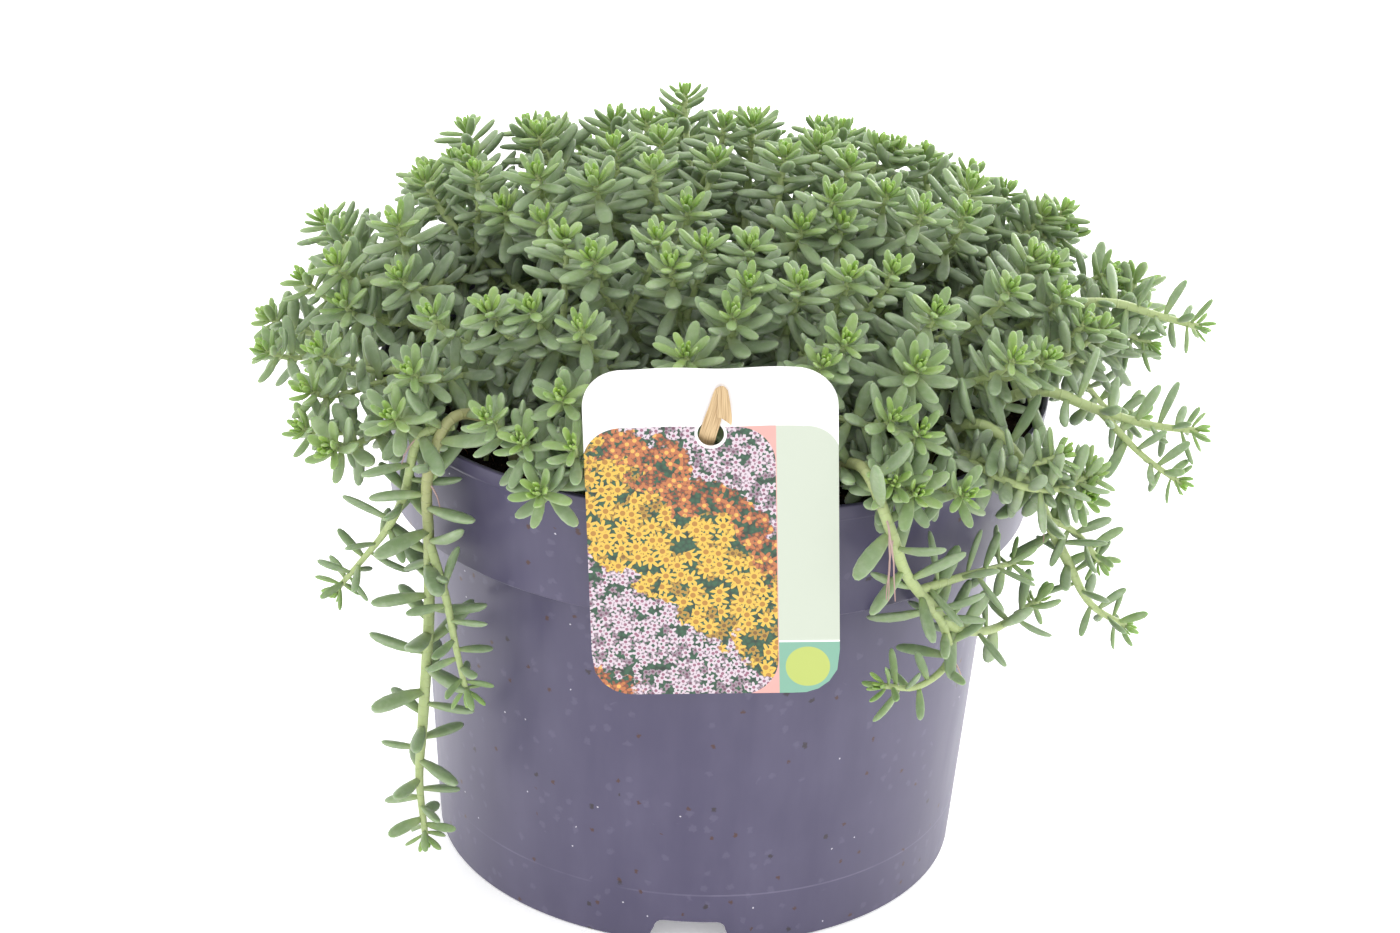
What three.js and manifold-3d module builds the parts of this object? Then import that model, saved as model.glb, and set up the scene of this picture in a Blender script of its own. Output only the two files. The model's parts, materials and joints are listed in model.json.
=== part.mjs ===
// Potted white stonecrop: a 19 cm nursery pot filled with soil, a low dome of leafy stems that
// hang over its rim, and a plant label held by a raffia tie.
// Millimetres, +Z up. The origin is the middle of the pot's underside. -Y is the front.

import * as THREE from 'three';
import Module from 'manifold-3d';
import { mergeVertices } from 'three/addons/utils/BufferGeometryUtils.js';

const wasm = await Module();
wasm.setup();

// Clearance between pieces that touch.
const GAP = 0.3;
// Joining and cutting leave slivers, so edges that bend the surface by less than this are let go.
const SLIVER = 0.02;

// The pot: a tapered body under a wider collar, with a hollow foot ring.
const POT_HEIGHT = 143;
const RIM_RADIUS = 95;
const COLLAR_FOOT_RADIUS = 91.1;
const COLLAR_FOOT_HEIGHT = 109;
const BODY_TOP_RADIUS = 83.4;
const FOOT_RADIUS = 75.9;
const WALL = 1.6;
const POT_SIDES = 40;
// Between the foot ring and the middle of the floor runs a raised channel that drains.
const CHANNEL_HEIGHT = 9;
const CHANNEL_INNER_RADIUS = 58;
const CHANNEL_SLOPE = 2;
const DRAIN_HOLES = 8;
const DRAIN_RADIUS = 4;
const DRAIN_SIDES = 6;
const NOTCHES = 4;
const NOTCH_WIDTH = 20;
const NOTCH_HEIGHT = 7.5;
const NOTCH_FLARE = 2.5;
const NOTCH_CORNER = 2.5;

// The soil's top is a little uneven and lies below the rim.
const SOIL_HEIGHT = 130;
const SOIL_SIDES = 24;
const SOIL_RINGS = 3;
const SOIL_BUMP = 1.6;
// Each spray stands in a plain hole in the soil, and is upright as far as just over it.
const HOLE_DEPTH = 14;
const HOLE_RADIUS = 4;
const HOLE_SIDES = 3;
const HOLE_SPACING = 8;
const UPRIGHT_OVER_SOIL = 4.5;

// The label stands against the rim, a little askew.
const LABEL_WIDTH = 65;
const LABEL_HEIGHT = 93;
const LABEL_THICKNESS = 0.6;
const LABEL_CORNER = 10.5;
const LABEL_MIDDLE = { x: 1.5, z: 137 };
const LABEL_TURN = THREE.MathUtils.degToRad(3.5);
const LABEL_HOLE_RADIUS = 3.75;
const LABEL_HOLE_ABOVE_MIDDLE = 28.5;
const LABEL_CURVE_STEPS = 4;

// The tie is one flat strand that comes up out of the soil behind the label, through its hole
// and a little way up its face. Its course is given from the hole: up along it and out of the label.
const TIE_WIDTH = 6.3;
const TIE_THICKNESS = 1;
const TIE_LEAN = THREE.MathUtils.degToRad(-15);
const TIE_COURSE = [[-48, -15], [-24, -9.5], [-4, -2.1], [0, 0.3], [4, 2.7], [9, 3.3], [17, 2.4]];
const TIE_STEPS = 12;
// Stems keep clear of a slab that holds the tie: it slopes up to the hole and is upright over it.
const TIE_SLAB = { half: 3, slope: 0.36, start: -0.5, uprightFrom: 4 };

// The dome that the shoots' tips reach.
const DOME_MIDDLE = new THREE.Vector3(0, 4, 134);
const DOME_RADII = new THREE.Vector3(130, 112, 74);

// Stems and leaves.
const STEM_RADIUS = 1.35;
const NODE_RADIUS = 1.8;
const NODE_LENGTH = 3.2;
const WHORL_SPACING = 14;
const BARE_SPAN_TURN = THREE.MathUtils.degToRad(45);
const BUD_LENGTH = 4.5;
// Lift is how steeply a leaf stands up from its stem, in degrees.
const ROSETTE_LEAF = { length: 9.5, width: 3.6, thickness: 2.4, lift: 16 };
const YOUNG_LEAF = { length: 7.5, width: 3, thickness: 2, lift: 48 };
const STEM_LEAF = { length: 12.5, width: 4, thickness: 2.7, lift: 16 };
const LEAF_WIDEST_AT = 0.64;
const UPWARD_PULL = 0.35;
const LEAF_RISE = 0.12;
// Leaves of a leading shoot, a branch and a long stem: how far down they reach, or how much they leave.
const LEADER = { size: 1, leafyLength: 20 };
const BRANCH = { size: 0.95, leafyLength: 10 };
const LONG_STEM_BARE = 55;
const LONG_BRANCH_BARE = 8;
const BARE_AT_FORK = 4;
// No stem kinks more than this from one stretch to the next.
const SHARPEST_BEND = THREE.MathUtils.degToRad(72);

// Roots lie nearer to the middle than the tips above them, and where another has the place, further
// along a widening circle.
const ROOT_SPREAD = 0.52;
const ROOT_LIMIT = 77;
const ROOT_TURNS = 8;
const ROOT_STEP = 3;
const ROOT_REACH = 12;

// A course is tried straight first, and then with more sway to a side, in mm, and more or less rise.
const SWAYS = [0, 5, -5, 10, -10, 16, -16];
const RISES = [1, 1.25, 1.5, 0.8, 1.8, 2.2];
// A branch forks off at one of these shares of its leader's length.
const FORKS = [0.5, 0.6, 0.4, 0.7, 0.3];
// How strongly a course holds to its foot's and its tip's directions, as shares of its span.
const FOOT_HOLD = 0.42;
const TIP_HOLD = 0.34;
const FOOT_SWAY = 0.6;
const COURSE_STEPS = 24;
const LONG_COURSE_STEPS = 72;
// A leaf in the way of another is turned round its stem and lifted, in degrees, by the first that clears.
const LEAF_TRIES = [[0, 0], [14, 8], [-14, 8], [0, 22], [20, -8], [-20, -8], [0, -16]];

// The tips of the shoots at the front and along the outline, placed by hand as they are sighted from
// in front of the pot and above it: across and up in the upright plane through the pot's axis,
// then, where it isn't 0, how far the tip stands out of the dome. A row is one spray.
const SIGHTED_FROM = new THREE.Vector3(-2.6, -863, 506);
const FRONT_SPRAYS = [
  [[-110, 183], [-107, 170], [-90, 183]],
  [[-82, 196], [-68, 199], [-89, 167, -8]],
  [[-71, 211], [-60, 189, -8]],
  [[-54, 213], [-51, 199], [-49, 186, -6]],
  [[-116, 165], [-105, 158, -8]],
  [[-126, 153], [-127, 143]],
  [[-80, 156], [-86, 138]],
  [[-52, 159], [-64, 158], [-43, 181]],
  [[-112, 143], [-115, 131]],
  [[-30, 208], [-17, 211], [-35, 198]],
  [[-11, 224], [0, 216]],
  [[-19, 203], [-2, 206, -4], [-9, 191, -6]],
  [[-35, 175], [-17, 182]],
  [[-13, 174], [-4, 180]],
  [[9, 181], [9, 169]],
  [[5, 160], [-8, 147]],
  [[-38, 154], [-43, 132]],
  [[17, 208], [26, 211], [23, 187, -6]],
  [[35, 206], [31, 196], [34, 188, -6]],
  [[48, 211], [46, 198], [56, 193]],
  [[69, 201], [79, 200], [68, 193]],
  [[23, 170], [37, 153]],
  [[37, 173], [49, 175]],
  [[82, 171], [88, 181]],
  [[62, 163], [58, 146]],
  [[85, 150], [94, 151]],
  [[31, 146], [52, 130]],
  [[95, 195], [93, 179]],
  [[97, 170], [109, 177], [117, 176]],
  [[104, 162], [118, 167], [109, 161]],
  [[101, 121], [110, 116], [109, 108]],
  [[60, 107], [53, 110], [60, 126]],
  [[74, 107], [82, 97]],
  [[-49, 102], [-54, 118], [-39, 117], [-64, 125]],
  [[-109, 113], [-91, 124], [-117, 119]],
  [[0, 128, -20], [-22, 132, -14], [20, 132, -14]],
];

// The long stems, placed by hand from the soil to the tip. The later lists of a row fork off the first.
const LONG_SPRAYS = [
  [
    [[-52, -54, 134], [-58, -60, 150], [-68, -69, 155], [-74, -73, 141], [-74, -71, 120],
      [-74, -69, 98], [-75, -66, 78], [-76, -65, 60], [-77, -63, 42], [-75, -65, 24]],
    [[-68, -69, 155], [-76, -70, 150], [-81, -68, 131], [-86, -64, 119], [-93, -61, 108], [-100, -59, 98]],
    [[-74, -71, 120], [-69, -75, 105], [-66, -77, 91], [-63, -78, 78]],
  ],
  [
    [[58, -44, 134], [64, -52, 150], [73, -60, 155], [84, -58, 143], [92, -52, 125], [99, -49, 111],
      [107, -47, 97], [117, -45, 90]],
    [[92, -52, 125], [100, -51, 121], [108, -49, 111]],
  ],
  [
    [[30, -66, 134], [34, -77, 149], [40, -92, 155], [47, -97, 141], [52, -91, 126], [59, -83, 114],
      [67, -76, 103], [79, -64, 97], [92, -51, 100]],
    [[59, -83, 114], [64, -80, 105], [66, -80, 95], [58, -86, 90], [48, -92, 93]],
    [[55, -85, 119], [69, -75, 118], [84, -57, 114]],
  ],
  [
    [[66, -36, 134], [74, -42, 152], [88, -46, 160], [104, -46, 155], [118, -45, 151], [131, -43, 149]],
    [[104, -46, 155], [116, -52, 145], [126, -55, 139]],
  ],
  [
    [[70, -8, 134], [80, -10, 156], [96, -10, 170], [110, -10, 172], [122, -10, 169], [134, -10, 166]],
    [[96, -10, 170], [110, -5, 163], [122, -4, 158]],
  ],
];

// The back is filled to the front's density by rule: sprays at even turns from the right to the left,
// each with its tips at these heights over the rim's level, as seen from the dome's middle.
const BACK_RINGS = [
  { sprays: 6, from: 19, to: 165, heights: [24, 4, -10, 34], spread: 9 },
  { sprays: 5, from: 27, to: 153, heights: [44, 54, 36, 48], spread: 11 },
  { sprays: 3, from: 48, to: 132, heights: [63, 58, 72], spread: 14 },
];
const BACK_SEED = 24;
const BACK_HEIGHT_PLAY = 6;

// Draws that give the same row of numbers on every run.
function seededDraw(seed) {
  let state = seed;
  return () => {
    state = (Math.imul(state, 1664525) + 1013904223) >>> 0;
    return state / 4294967296;
  };
}

// A geometry's closed mesh as a solid, and a solid's mesh as a geometry without slivers.
function solidFrom(geometry) {
  const bare = geometry.clone();
  bare.deleteAttribute('normal');
  bare.deleteAttribute('uv');
  const merged = mergeVertices(bare, 1e-4);
  const triVerts = new Uint32Array(merged.index.array);
  const vertProperties = new Float32Array(merged.attributes.position.array);
  return new wasm.Manifold(new wasm.Mesh({ numProp: 3, vertProperties, triVerts }));
}

function geometryFrom(solid) {
  const mesh = solid.asOriginal().simplify(SLIVER).getMesh();
  const geometry = new THREE.BufferGeometry();
  geometry.setAttribute('position', new THREE.BufferAttribute(mesh.vertProperties, 3));
  geometry.setIndex(new THREE.BufferAttribute(mesh.triVerts, 1));
  geometry.computeVertexNormals();
  return geometry;
}

// A lathe's rings stand along Y, so its geometry is turned to stand along Z.
function turned(profile, sides) {
  const points = profile.map(([radius, height]) => new THREE.Vector2(radius, height));
  return new THREE.LatheGeometry(points, sides).rotateX(Math.PI / 2);
}

function plastic(color, roughness) {
  return new THREE.MeshStandardMaterial({ color, roughness, metalness: 0 });
}

function named(name, geometry, material) {
  const mesh = new THREE.Mesh(geometry, material);
  mesh.name = name;
  return mesh;
}

// The pot's outer radius at a height, on the body or on the collar.
function potRadius(height) {
  if (height < COLLAR_FOOT_HEIGHT) {
    return THREE.MathUtils.mapLinear(height, 0, COLLAR_FOOT_HEIGHT, FOOT_RADIUS, BODY_TOP_RADIUS);
  }
  return THREE.MathUtils.mapLinear(height, COLLAR_FOOT_HEIGHT, POT_HEIGHT, COLLAR_FOOT_RADIUS, RIM_RADIUS);
}

function notchCutter(turn) {
  const half = NOTCH_WIDTH / 2;
  const shape = new THREE.Shape();
  shape.moveTo(-half - NOTCH_FLARE, -1);
  shape.lineTo(-half, NOTCH_HEIGHT - NOTCH_CORNER);
  shape.lineTo(-half + NOTCH_CORNER, NOTCH_HEIGHT);
  shape.lineTo(half - NOTCH_CORNER, NOTCH_HEIGHT);
  shape.lineTo(half, NOTCH_HEIGHT - NOTCH_CORNER);
  shape.lineTo(half + NOTCH_FLARE, -1);
  const depth = FOOT_RADIUS - CHANNEL_INNER_RADIUS - 2 * WALL;
  const cutter = new THREE.ExtrudeGeometry(shape, { depth, bevelEnabled: false });
  cutter.rotateX(Math.PI / 2);
  cutter.translate(0, -FOOT_RADIUS + depth - WALL, 0);
  return solidFrom(cutter.rotateZ(turn));
}

function drainCutter(turn) {
  const cutter = new THREE.CylinderGeometry(DRAIN_RADIUS, DRAIN_RADIUS, 4 * WALL, DRAIN_SIDES);
  cutter.rotateX(Math.PI / 2);
  cutter.translate((CHANNEL_INNER_RADIUS + FOOT_RADIUS) / 2, 0, CHANNEL_HEIGHT + WALL / 2);
  return solidFrom(cutter.rotateZ(turn));
}

function makePot() {
  const innerFoot = FOOT_RADIUS - WALL;
  const shoulder = COLLAR_FOOT_HEIGHT + WALL;
  const floorTop = CHANNEL_HEIGHT + WALL;
  const profile = [
    [0, 0],
    [CHANNEL_INNER_RADIUS, 0],
    [CHANNEL_INNER_RADIUS + CHANNEL_SLOPE, CHANNEL_HEIGHT],
    [potRadius(CHANNEL_HEIGHT) - WALL, CHANNEL_HEIGHT],
    [innerFoot, 0],
    [FOOT_RADIUS, 0],
    [BODY_TOP_RADIUS, COLLAR_FOOT_HEIGHT],
    [COLLAR_FOOT_RADIUS, COLLAR_FOOT_HEIGHT],
    [RIM_RADIUS, POT_HEIGHT],
    [RIM_RADIUS - WALL, POT_HEIGHT],
    [potRadius(shoulder) - WALL, shoulder],
    [BODY_TOP_RADIUS - WALL, shoulder],
    [potRadius(floorTop) - WALL, floorTop],
    [CHANNEL_INNER_RADIUS + CHANNEL_SLOPE - WALL, floorTop],
    [CHANNEL_INNER_RADIUS - WALL, WALL],
    [0, WALL],
  ];
  let pot = solidFrom(turned(profile, POT_SIDES));
  for (let i = 0; i < NOTCHES; i += 1) {
    pot = pot.subtract(notchCutter((i / NOTCHES) * 2 * Math.PI));
  }
  for (let i = 0; i < DRAIN_HOLES; i += 1) {
    pot = pot.subtract(drainCutter(((i + 0.5) / DRAIN_HOLES) * 2 * Math.PI));
  }
  return named('pot', geometryFrom(pot), plastic('#6b667c', 0.5));
}

// The soil's top is a little uneven, so its height at a place is worked out from two slow waves.
function soilHeight(x, y) {
  return SOIL_HEIGHT + SOIL_BUMP * Math.sin(x / 13) * Math.cos(y / 11);
}

function makeSoil(roots, tieSlot) {
  const floorTop = CHANNEL_HEIGHT + WALL + GAP;
  const shoulder = COLLAR_FOOT_HEIGHT + WALL + GAP;
  const inside = 2 * GAP + WALL;
  const edge = potRadius(SOIL_HEIGHT) - inside;
  const profile = [
    [0, WALL + GAP],
    [CHANNEL_INNER_RADIUS - inside, WALL + GAP],
    [CHANNEL_INNER_RADIUS + CHANNEL_SLOPE - inside, floorTop],
    [potRadius(floorTop) - inside, floorTop],
    [BODY_TOP_RADIUS - inside, shoulder],
    [potRadius(shoulder) - inside, shoulder],
    [edge, SOIL_HEIGHT],
  ];
  for (let i = SOIL_RINGS - 1; i >= 0; i -= 1) {
    profile.push([(edge * i) / SOIL_RINGS, SOIL_HEIGHT]);
  }
  const geometry = turned(profile, SOIL_SIDES);
  const place = geometry.attributes.position;
  for (let i = 0; i < place.count; i += 1) {
    const [x, y, z] = [place.getX(i), place.getY(i), place.getZ(i)];
    if (z > SOIL_HEIGHT - 1 && Math.hypot(x, y) < edge - 1) {
      place.setZ(i, soilHeight(x, y));
    }
  }
  let soil = solidFrom(geometry).subtract(tieSlot);
  for (const root of roots) {
    const hole = new THREE.CylinderGeometry(HOLE_RADIUS, HOLE_RADIUS, 2 * HOLE_DEPTH, HOLE_SIDES);
    hole.rotateX(Math.PI / 2);
    hole.translate(root.x, root.y, SOIL_HEIGHT);
    soil = soil.subtract(solidFrom(hole));
  }
  return named('soil', geometryFrom(soil), plastic('#2b211b', 0.95));
}

function roundedOutline(width, height, corner) {
  const [x, y] = [width / 2, height / 2];
  const shape = new THREE.Shape();
  shape.moveTo(x - corner, -y);
  shape.absarc(x - corner, -y + corner, corner, -Math.PI / 2, 0);
  shape.absarc(x - corner, y - corner, corner, 0, Math.PI / 2);
  shape.absarc(-x + corner, y - corner, corner, Math.PI / 2, Math.PI);
  shape.absarc(-x + corner, -y + corner, corner, Math.PI, 1.5 * Math.PI);
  return shape;
}

// The label and the tie are drawn flat and then stood up, with the label's back GAP off the rim.
function standAtRim(geometry) {
  geometry.rotateX(Math.PI / 2);
  geometry.translate(LABEL_MIDDLE.x, -RIM_RADIUS - GAP, LABEL_MIDDLE.z);
  return geometry;
}

function makeLabel() {
  const outline = roundedOutline(LABEL_WIDTH, LABEL_HEIGHT, LABEL_CORNER);
  const hole = new THREE.Path();
  hole.absarc(0, LABEL_HOLE_ABOVE_MIDDLE, LABEL_HOLE_RADIUS, 0, 2 * Math.PI, true);
  outline.holes.push(hole);
  const options = { depth: LABEL_THICKNESS, bevelEnabled: false, curveSegments: LABEL_CURVE_STEPS };
  const geometry = new THREE.ExtrudeGeometry(outline, options);
  geometry.rotateZ(LABEL_TURN);
  return named('label', standAtRim(geometry), plastic('#f2f1ee', 0.35));
}

function tieGeometry(width, thickness, course) {
  const section = new THREE.Shape();
  section.moveTo(-width / 2, -thickness / 2);
  section.lineTo(width / 2, -thickness / 2);
  section.lineTo(width / 2, thickness / 2);
  section.lineTo(-width / 2, thickness / 2);
  const points = course.map(([up, out]) => new THREE.Vector3(0, up, out));
  const extrudePath = new THREE.CatmullRomCurve3(points);
  const options = { steps: TIE_STEPS, extrudePath, bevelEnabled: false };
  const geometry = new THREE.ExtrudeGeometry(section, options);
  geometry.rotateZ(TIE_LEAN);
  geometry.translate(0, LABEL_HOLE_ABOVE_MIDDLE, 0);
  geometry.rotateZ(LABEL_TURN);
  return standAtRim(geometry);
}

function makeTie() {
  return named('label_tie', tieGeometry(TIE_WIDTH, TIE_THICKNESS, TIE_COURSE), plastic('#c9a878', 0.8));
}

// Where a sight line through the upright plane meets the dome, or passes closest to it.
function sightedTip([across, up, lift = 0]) {
  const radii = DOME_RADII.clone().addScalar(lift);
  const sight = new THREE.Vector3(across, 0, up).sub(SIGHTED_FROM);
  const start = SIGHTED_FROM.clone().sub(DOME_MIDDLE).divide(radii);
  const along = sight.clone().divide(radii);
  const a = along.dot(along);
  const b = start.dot(along);
  const inside = Math.max(b * b - a * (start.dot(start) - 1), 0);
  return SIGHTED_FROM.clone().addScaledVector(sight, (-b - Math.sqrt(inside)) / a);
}

// A shoot's tip points out of the dome, and a little more upwards than it.
function tipDirection(tip) {
  const outward = tip.clone().sub(DOME_MIDDLE).divide(DOME_RADII).divide(DOME_RADII).normalize();
  outward.z += UPWARD_PULL;
  return outward.normalize();
}

function backTips() {
  const draw = seededDraw(BACK_SEED);
  const sprays = [];
  for (const ring of BACK_RINGS) {
    for (let i = 0; i < ring.sprays; i += 1) {
      const turn = ring.from + ((ring.to - ring.from) * i) / (ring.sprays - 1);
      sprays.push(ring.heights.map((height, k) => {
        const side = (k % 2 === 0 ? -1 : 1) * ring.spread * (0.6 + 0.4 * draw());
        const around = THREE.MathUtils.degToRad(turn + side);
        const over = THREE.MathUtils.degToRad(height + BACK_HEIGHT_PLAY * (draw() - 0.5));
        const flat = Math.cos(over);
        return new THREE.Vector3(flat * Math.cos(around), flat * Math.sin(around), Math.sin(over))
          .multiply(DOME_RADII).add(DOME_MIDDLE);
      }));
    }
  }
  return sprays;
}

// A shoot's course is a fine row of points from its foot to its tip, read by distance from the tip.
class Course {
  constructor(points) {
    this.points = points;
    this.fromTip = points.map(() => 0);
    for (let i = points.length - 2; i >= 0; i -= 1) {
      this.fromTip[i] = this.fromTip[i + 1] + points[i].distanceTo(points[i + 1]);
    }
    this.length = this.fromTip[0];
  }

  at(fromTip) {
    const i = this.spanAt(fromTip);
    const span = this.fromTip[i] - this.fromTip[i + 1];
    const share = span > 0 ? (this.fromTip[i] - fromTip) / span : 0;
    return this.points[i].clone().lerp(this.points[i + 1], share);
  }

  spanAt(fromTip) {
    let i = 0;
    while (i < this.points.length - 2 && this.fromTip[i + 1] > fromTip) {
      i += 1;
    }
    return i;
  }

  // How far the course turns in all between two places.
  turning(from, to) {
    const steps = 8;
    let sum = 0;
    for (let i = 0; i < steps; i += 1) {
      const here = this.directionAt(from + ((to - from) * i) / steps);
      const next = this.directionAt(from + ((to - from) * (i + 1)) / steps);
      sum += here.angleTo(next);
    }
    return sum;
  }

  directionAt(fromTip) {
    const ahead = this.at(Math.max(fromTip - 1, 0));
    const behind = this.at(Math.min(fromTip + 1, this.length));
    return ahead.sub(behind).normalize();
  }
}

// Places along a course, from its foot to its tip, where the faceted stem has a ring of corners:
// two on each node that bears leaves, and enough between them to follow the bend.
function ringPlaces({ course, leafyLength, rooted }) {
  const places = [0, NODE_LENGTH];
  const foot = course.length - (rooted ? HOLE_DEPTH - GAP + UPRIGHT_OVER_SOIL : 0);
  const leafy = Math.min(leafyLength, foot - NODE_LENGTH - BARE_AT_FORK);
  for (let node = WHORL_SPACING; node + NODE_LENGTH <= leafy; node += WHORL_SPACING) {
    places.push(node, node + NODE_LENGTH);
  }
  const last = places[places.length - 1];
  const bare = foot - last;
  const spans = Math.max(1, Math.round(course.turning(foot, last) / BARE_SPAN_TURN));
  for (let i = 1; i <= spans; i += 1) {
    places.push(last + (bare * i) / spans);
  }
  if (rooted) {
    places.push(course.length);
  }
  return places.reverse();
}

// The closest distance between two straight stretches.
function distanceBetween(p1, q1, p2, q2) {
  const d1 = q1.clone().sub(p1);
  const d2 = q2.clone().sub(p2);
  const r = p1.clone().sub(p2);
  const a = d1.dot(d1);
  const e = d2.dot(d2);
  const b = d1.dot(d2);
  const c = d1.dot(r);
  const f = d2.dot(r);
  const denominator = a * e - b * b;
  let s = denominator > 1e-9 ? THREE.MathUtils.clamp((b * f - c * e) / denominator, 0, 1) : 0;
  let t = (b * s + f) / e;
  if (t < 0) {
    t = 0;
    s = THREE.MathUtils.clamp(-c / a, 0, 1);
  } else if (t > 1) {
    t = 1;
    s = THREE.MathUtils.clamp((b - c) / a, 0, 1);
  }
  return p1.clone().addScaledVector(d1, s).distanceTo(p2.clone().addScaledVector(d2, t));
}

// Whether a ball clears the pot, the soil, the label and the tie.
function clearsHolder(point, radius) {
  const reach = radius + GAP;
  const fromAxis = Math.hypot(point.x, point.y);
  if (point.z < POT_HEIGHT + reach) {
    const outer = Math.max(potRadius(point.z), potRadius(point.z + reach));
    const outside = fromAxis > outer + reach;
    const inside = fromAxis < potRadius(point.z) - WALL - reach - GAP;
    const overSoil = point.z > SOIL_HEIGHT + SOIL_BUMP + reach;
    if (!outside && !(inside && overSoil)) {
      return false;
    }
  }
  const fromBack = -(point.y + RIM_RADIUS + GAP);
  const across = point.x - LABEL_MIDDLE.x;
  const up = point.z - LABEL_MIDDLE.z;
  const labelX = across * Math.cos(LABEL_TURN) + up * Math.sin(LABEL_TURN);
  const labelY = up * Math.cos(LABEL_TURN) - across * Math.sin(LABEL_TURN);
  const beside = Math.abs(labelX) > LABEL_WIDTH / 2 + reach || Math.abs(labelY) > LABEL_HEIGHT / 2 + reach;
  if (!beside && fromBack > -reach && fromBack < LABEL_THICKNESS + reach) {
    return false;
  }
  const aboveHole = labelY - LABEL_HOLE_ABOVE_MIDDLE;
  const tieX = labelX * Math.cos(TIE_LEAN) + aboveHole * Math.sin(TIE_LEAN);
  const tieUp = aboveHole * Math.cos(TIE_LEAN) - labelX * Math.sin(TIE_LEAN);
  if (Math.abs(tieX) > TIE_WIDTH / 2 + reach || tieUp > TIE_COURSE.at(-1)[0] + reach) {
    return true;
  }
  const { half, slope, start, uprightFrom } = TIE_SLAB;
  const tieOut = tieUp > uprightFrom ? half : tieUp * slope + start;
  return Math.abs(fromBack - tieOut) > half + reach;
}

function stretchClearsHolder(from, to, radius) {
  const steps = Math.ceil(from.distanceTo(to) / 2) + 1;
  for (let i = 0; i <= steps; i += 1) {
    if (!clearsHolder(from.clone().lerp(to, i / steps), radius)) {
      return false;
    }
  }
  return true;
}

// What already stands in the bush: stretches of stem and leaf, each with its spray and radius.
const standing = [];

function clearsOthers(from, to, radius, spray) {
  return standing.every((other) => other.spray === spray
    || distanceBetween(from, to, other.from, other.to) > radius + other.radius + GAP);
}

function stemStretches(shoot) {
  const rings = ringPlaces(shoot).map((place) => shoot.course.at(place));
  return rings.slice(1).map((to, i) => ({ from: rings[i], to, radius: NODE_RADIUS, spray: shoot.spray }));
}

// A rooted stem's first stretch stands in its hole, so only its distance to other stems counts there.
function stemIsClear(shoot) {
  const stretches = stemStretches(shoot);
  const ways = stretches.map(({ from, to }) => to.clone().sub(from));
  return ways.slice(1).every((way, i) => way.angleTo(ways[i]) < SHARPEST_BEND)
    && stretches.every(({ from, to, radius, spray }, i) => (
      ((shoot.rooted && i === 0) || stretchClearsHolder(from, to, radius))
      && clearsOthers(from, to, radius, spray)));
}

// A bent course from a foot to a tip. Sway bends it sideways and rise carries it higher.
function bentCourse(foot, footDirection, tip, direction, { sway, rise }) {
  const span = foot.distanceTo(tip);
  const side = tip.clone().sub(foot).cross(new THREE.Vector3(0, 0, 1)).normalize();
  const afterFoot = foot.clone().addScaledVector(footDirection, FOOT_HOLD * span * rise)
    .addScaledVector(side, FOOT_SWAY * sway);
  const beforeTip = tip.clone().addScaledVector(direction, -TIP_HOLD * span).addScaledVector(side, sway);
  const curve = new THREE.CubicBezierCurve3(foot, afterFoot, beforeTip, tip);
  return curve.getPoints(COURSE_STEPS);
}

function firstClear(candidates, kind) {
  for (const points of candidates) {
    const shoot = { ...kind, course: new Course(points) };
    if (stemIsClear(shoot)) {
      return shoot;
    }
  }
  return null;
}

function bends() {
  return RISES.flatMap((rise) => SWAYS.map((sway) => ({ sway, rise })));
}

// A spray is rooted under its tips, nearer to the middle, and away from the roots that are taken.
const roots = [];

function rootOf(tips) {
  const mean = new THREE.Vector3();
  tips.forEach((tip) => mean.addScaledVector(tip, 1 / tips.length));
  const wanted = new THREE.Vector3(mean.x, mean.y, 0).multiplyScalar(ROOT_SPREAD);
  const tries = [wanted.clone()];
  for (let away = ROOT_STEP; away <= ROOT_REACH; away += ROOT_STEP) {
    for (let i = 0; i < ROOT_TURNS; i += 1) {
      const turn = (i / ROOT_TURNS) * 2 * Math.PI;
      tries.push(wanted.clone().add(new THREE.Vector3(away * Math.cos(turn), away * Math.sin(turn), 0)));
    }
  }
  const limited = tries.map((root) => root.clampLength(0, ROOT_LIMIT));
  const free = limited.find((root) => roots.every((other) => other.distanceTo(root) > HOLE_SPACING));
  roots.push(free);
  return free.clone().setZ(SOIL_HEIGHT);
}

function leader(tips, kind) {
  const root = rootOf(tips);
  const bottom = root.clone().setZ(SOIL_HEIGHT - HOLE_DEPTH + GAP);
  const foot = root.clone().setZ(SOIL_HEIGHT + UPRIGHT_OVER_SOIL);
  const upright = new THREE.Vector3(0, 0, 1);
  const candidates = bends().map((bend) => (
    [bottom, ...bentCourse(foot, upright, tips[0], tipDirection(tips[0]), bend)]));
  return firstClear(candidates, { ...kind, rooted: true });
}

// The place nearest to a point on the middle line of a faceted stem, so that a fork starts inside it.
function onFacetedLine(shoot, point) {
  const near = stemStretches(shoot)
    .map(({ from, to }) => new THREE.Line3(from, to).closestPointToPoint(point, true, new THREE.Vector3()));
  return near.reduce((best, place) => (place.distanceTo(point) < best.distanceTo(point) ? place : best));
}

function branch(main, tip, kind) {
  const { course } = main;
  const candidates = FORKS.flatMap((share) => {
    const fromTip = (course.length - HOLE_DEPTH) * (1 - share);
    const foot = onFacetedLine(main, course.at(fromTip));
    const direction = course.directionAt(fromTip);
    return bends().map((bend) => bentCourse(foot, direction, tip, tipDirection(tip), bend));
  });
  return firstClear(candidates, { ...kind, rooted: false });
}

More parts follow.
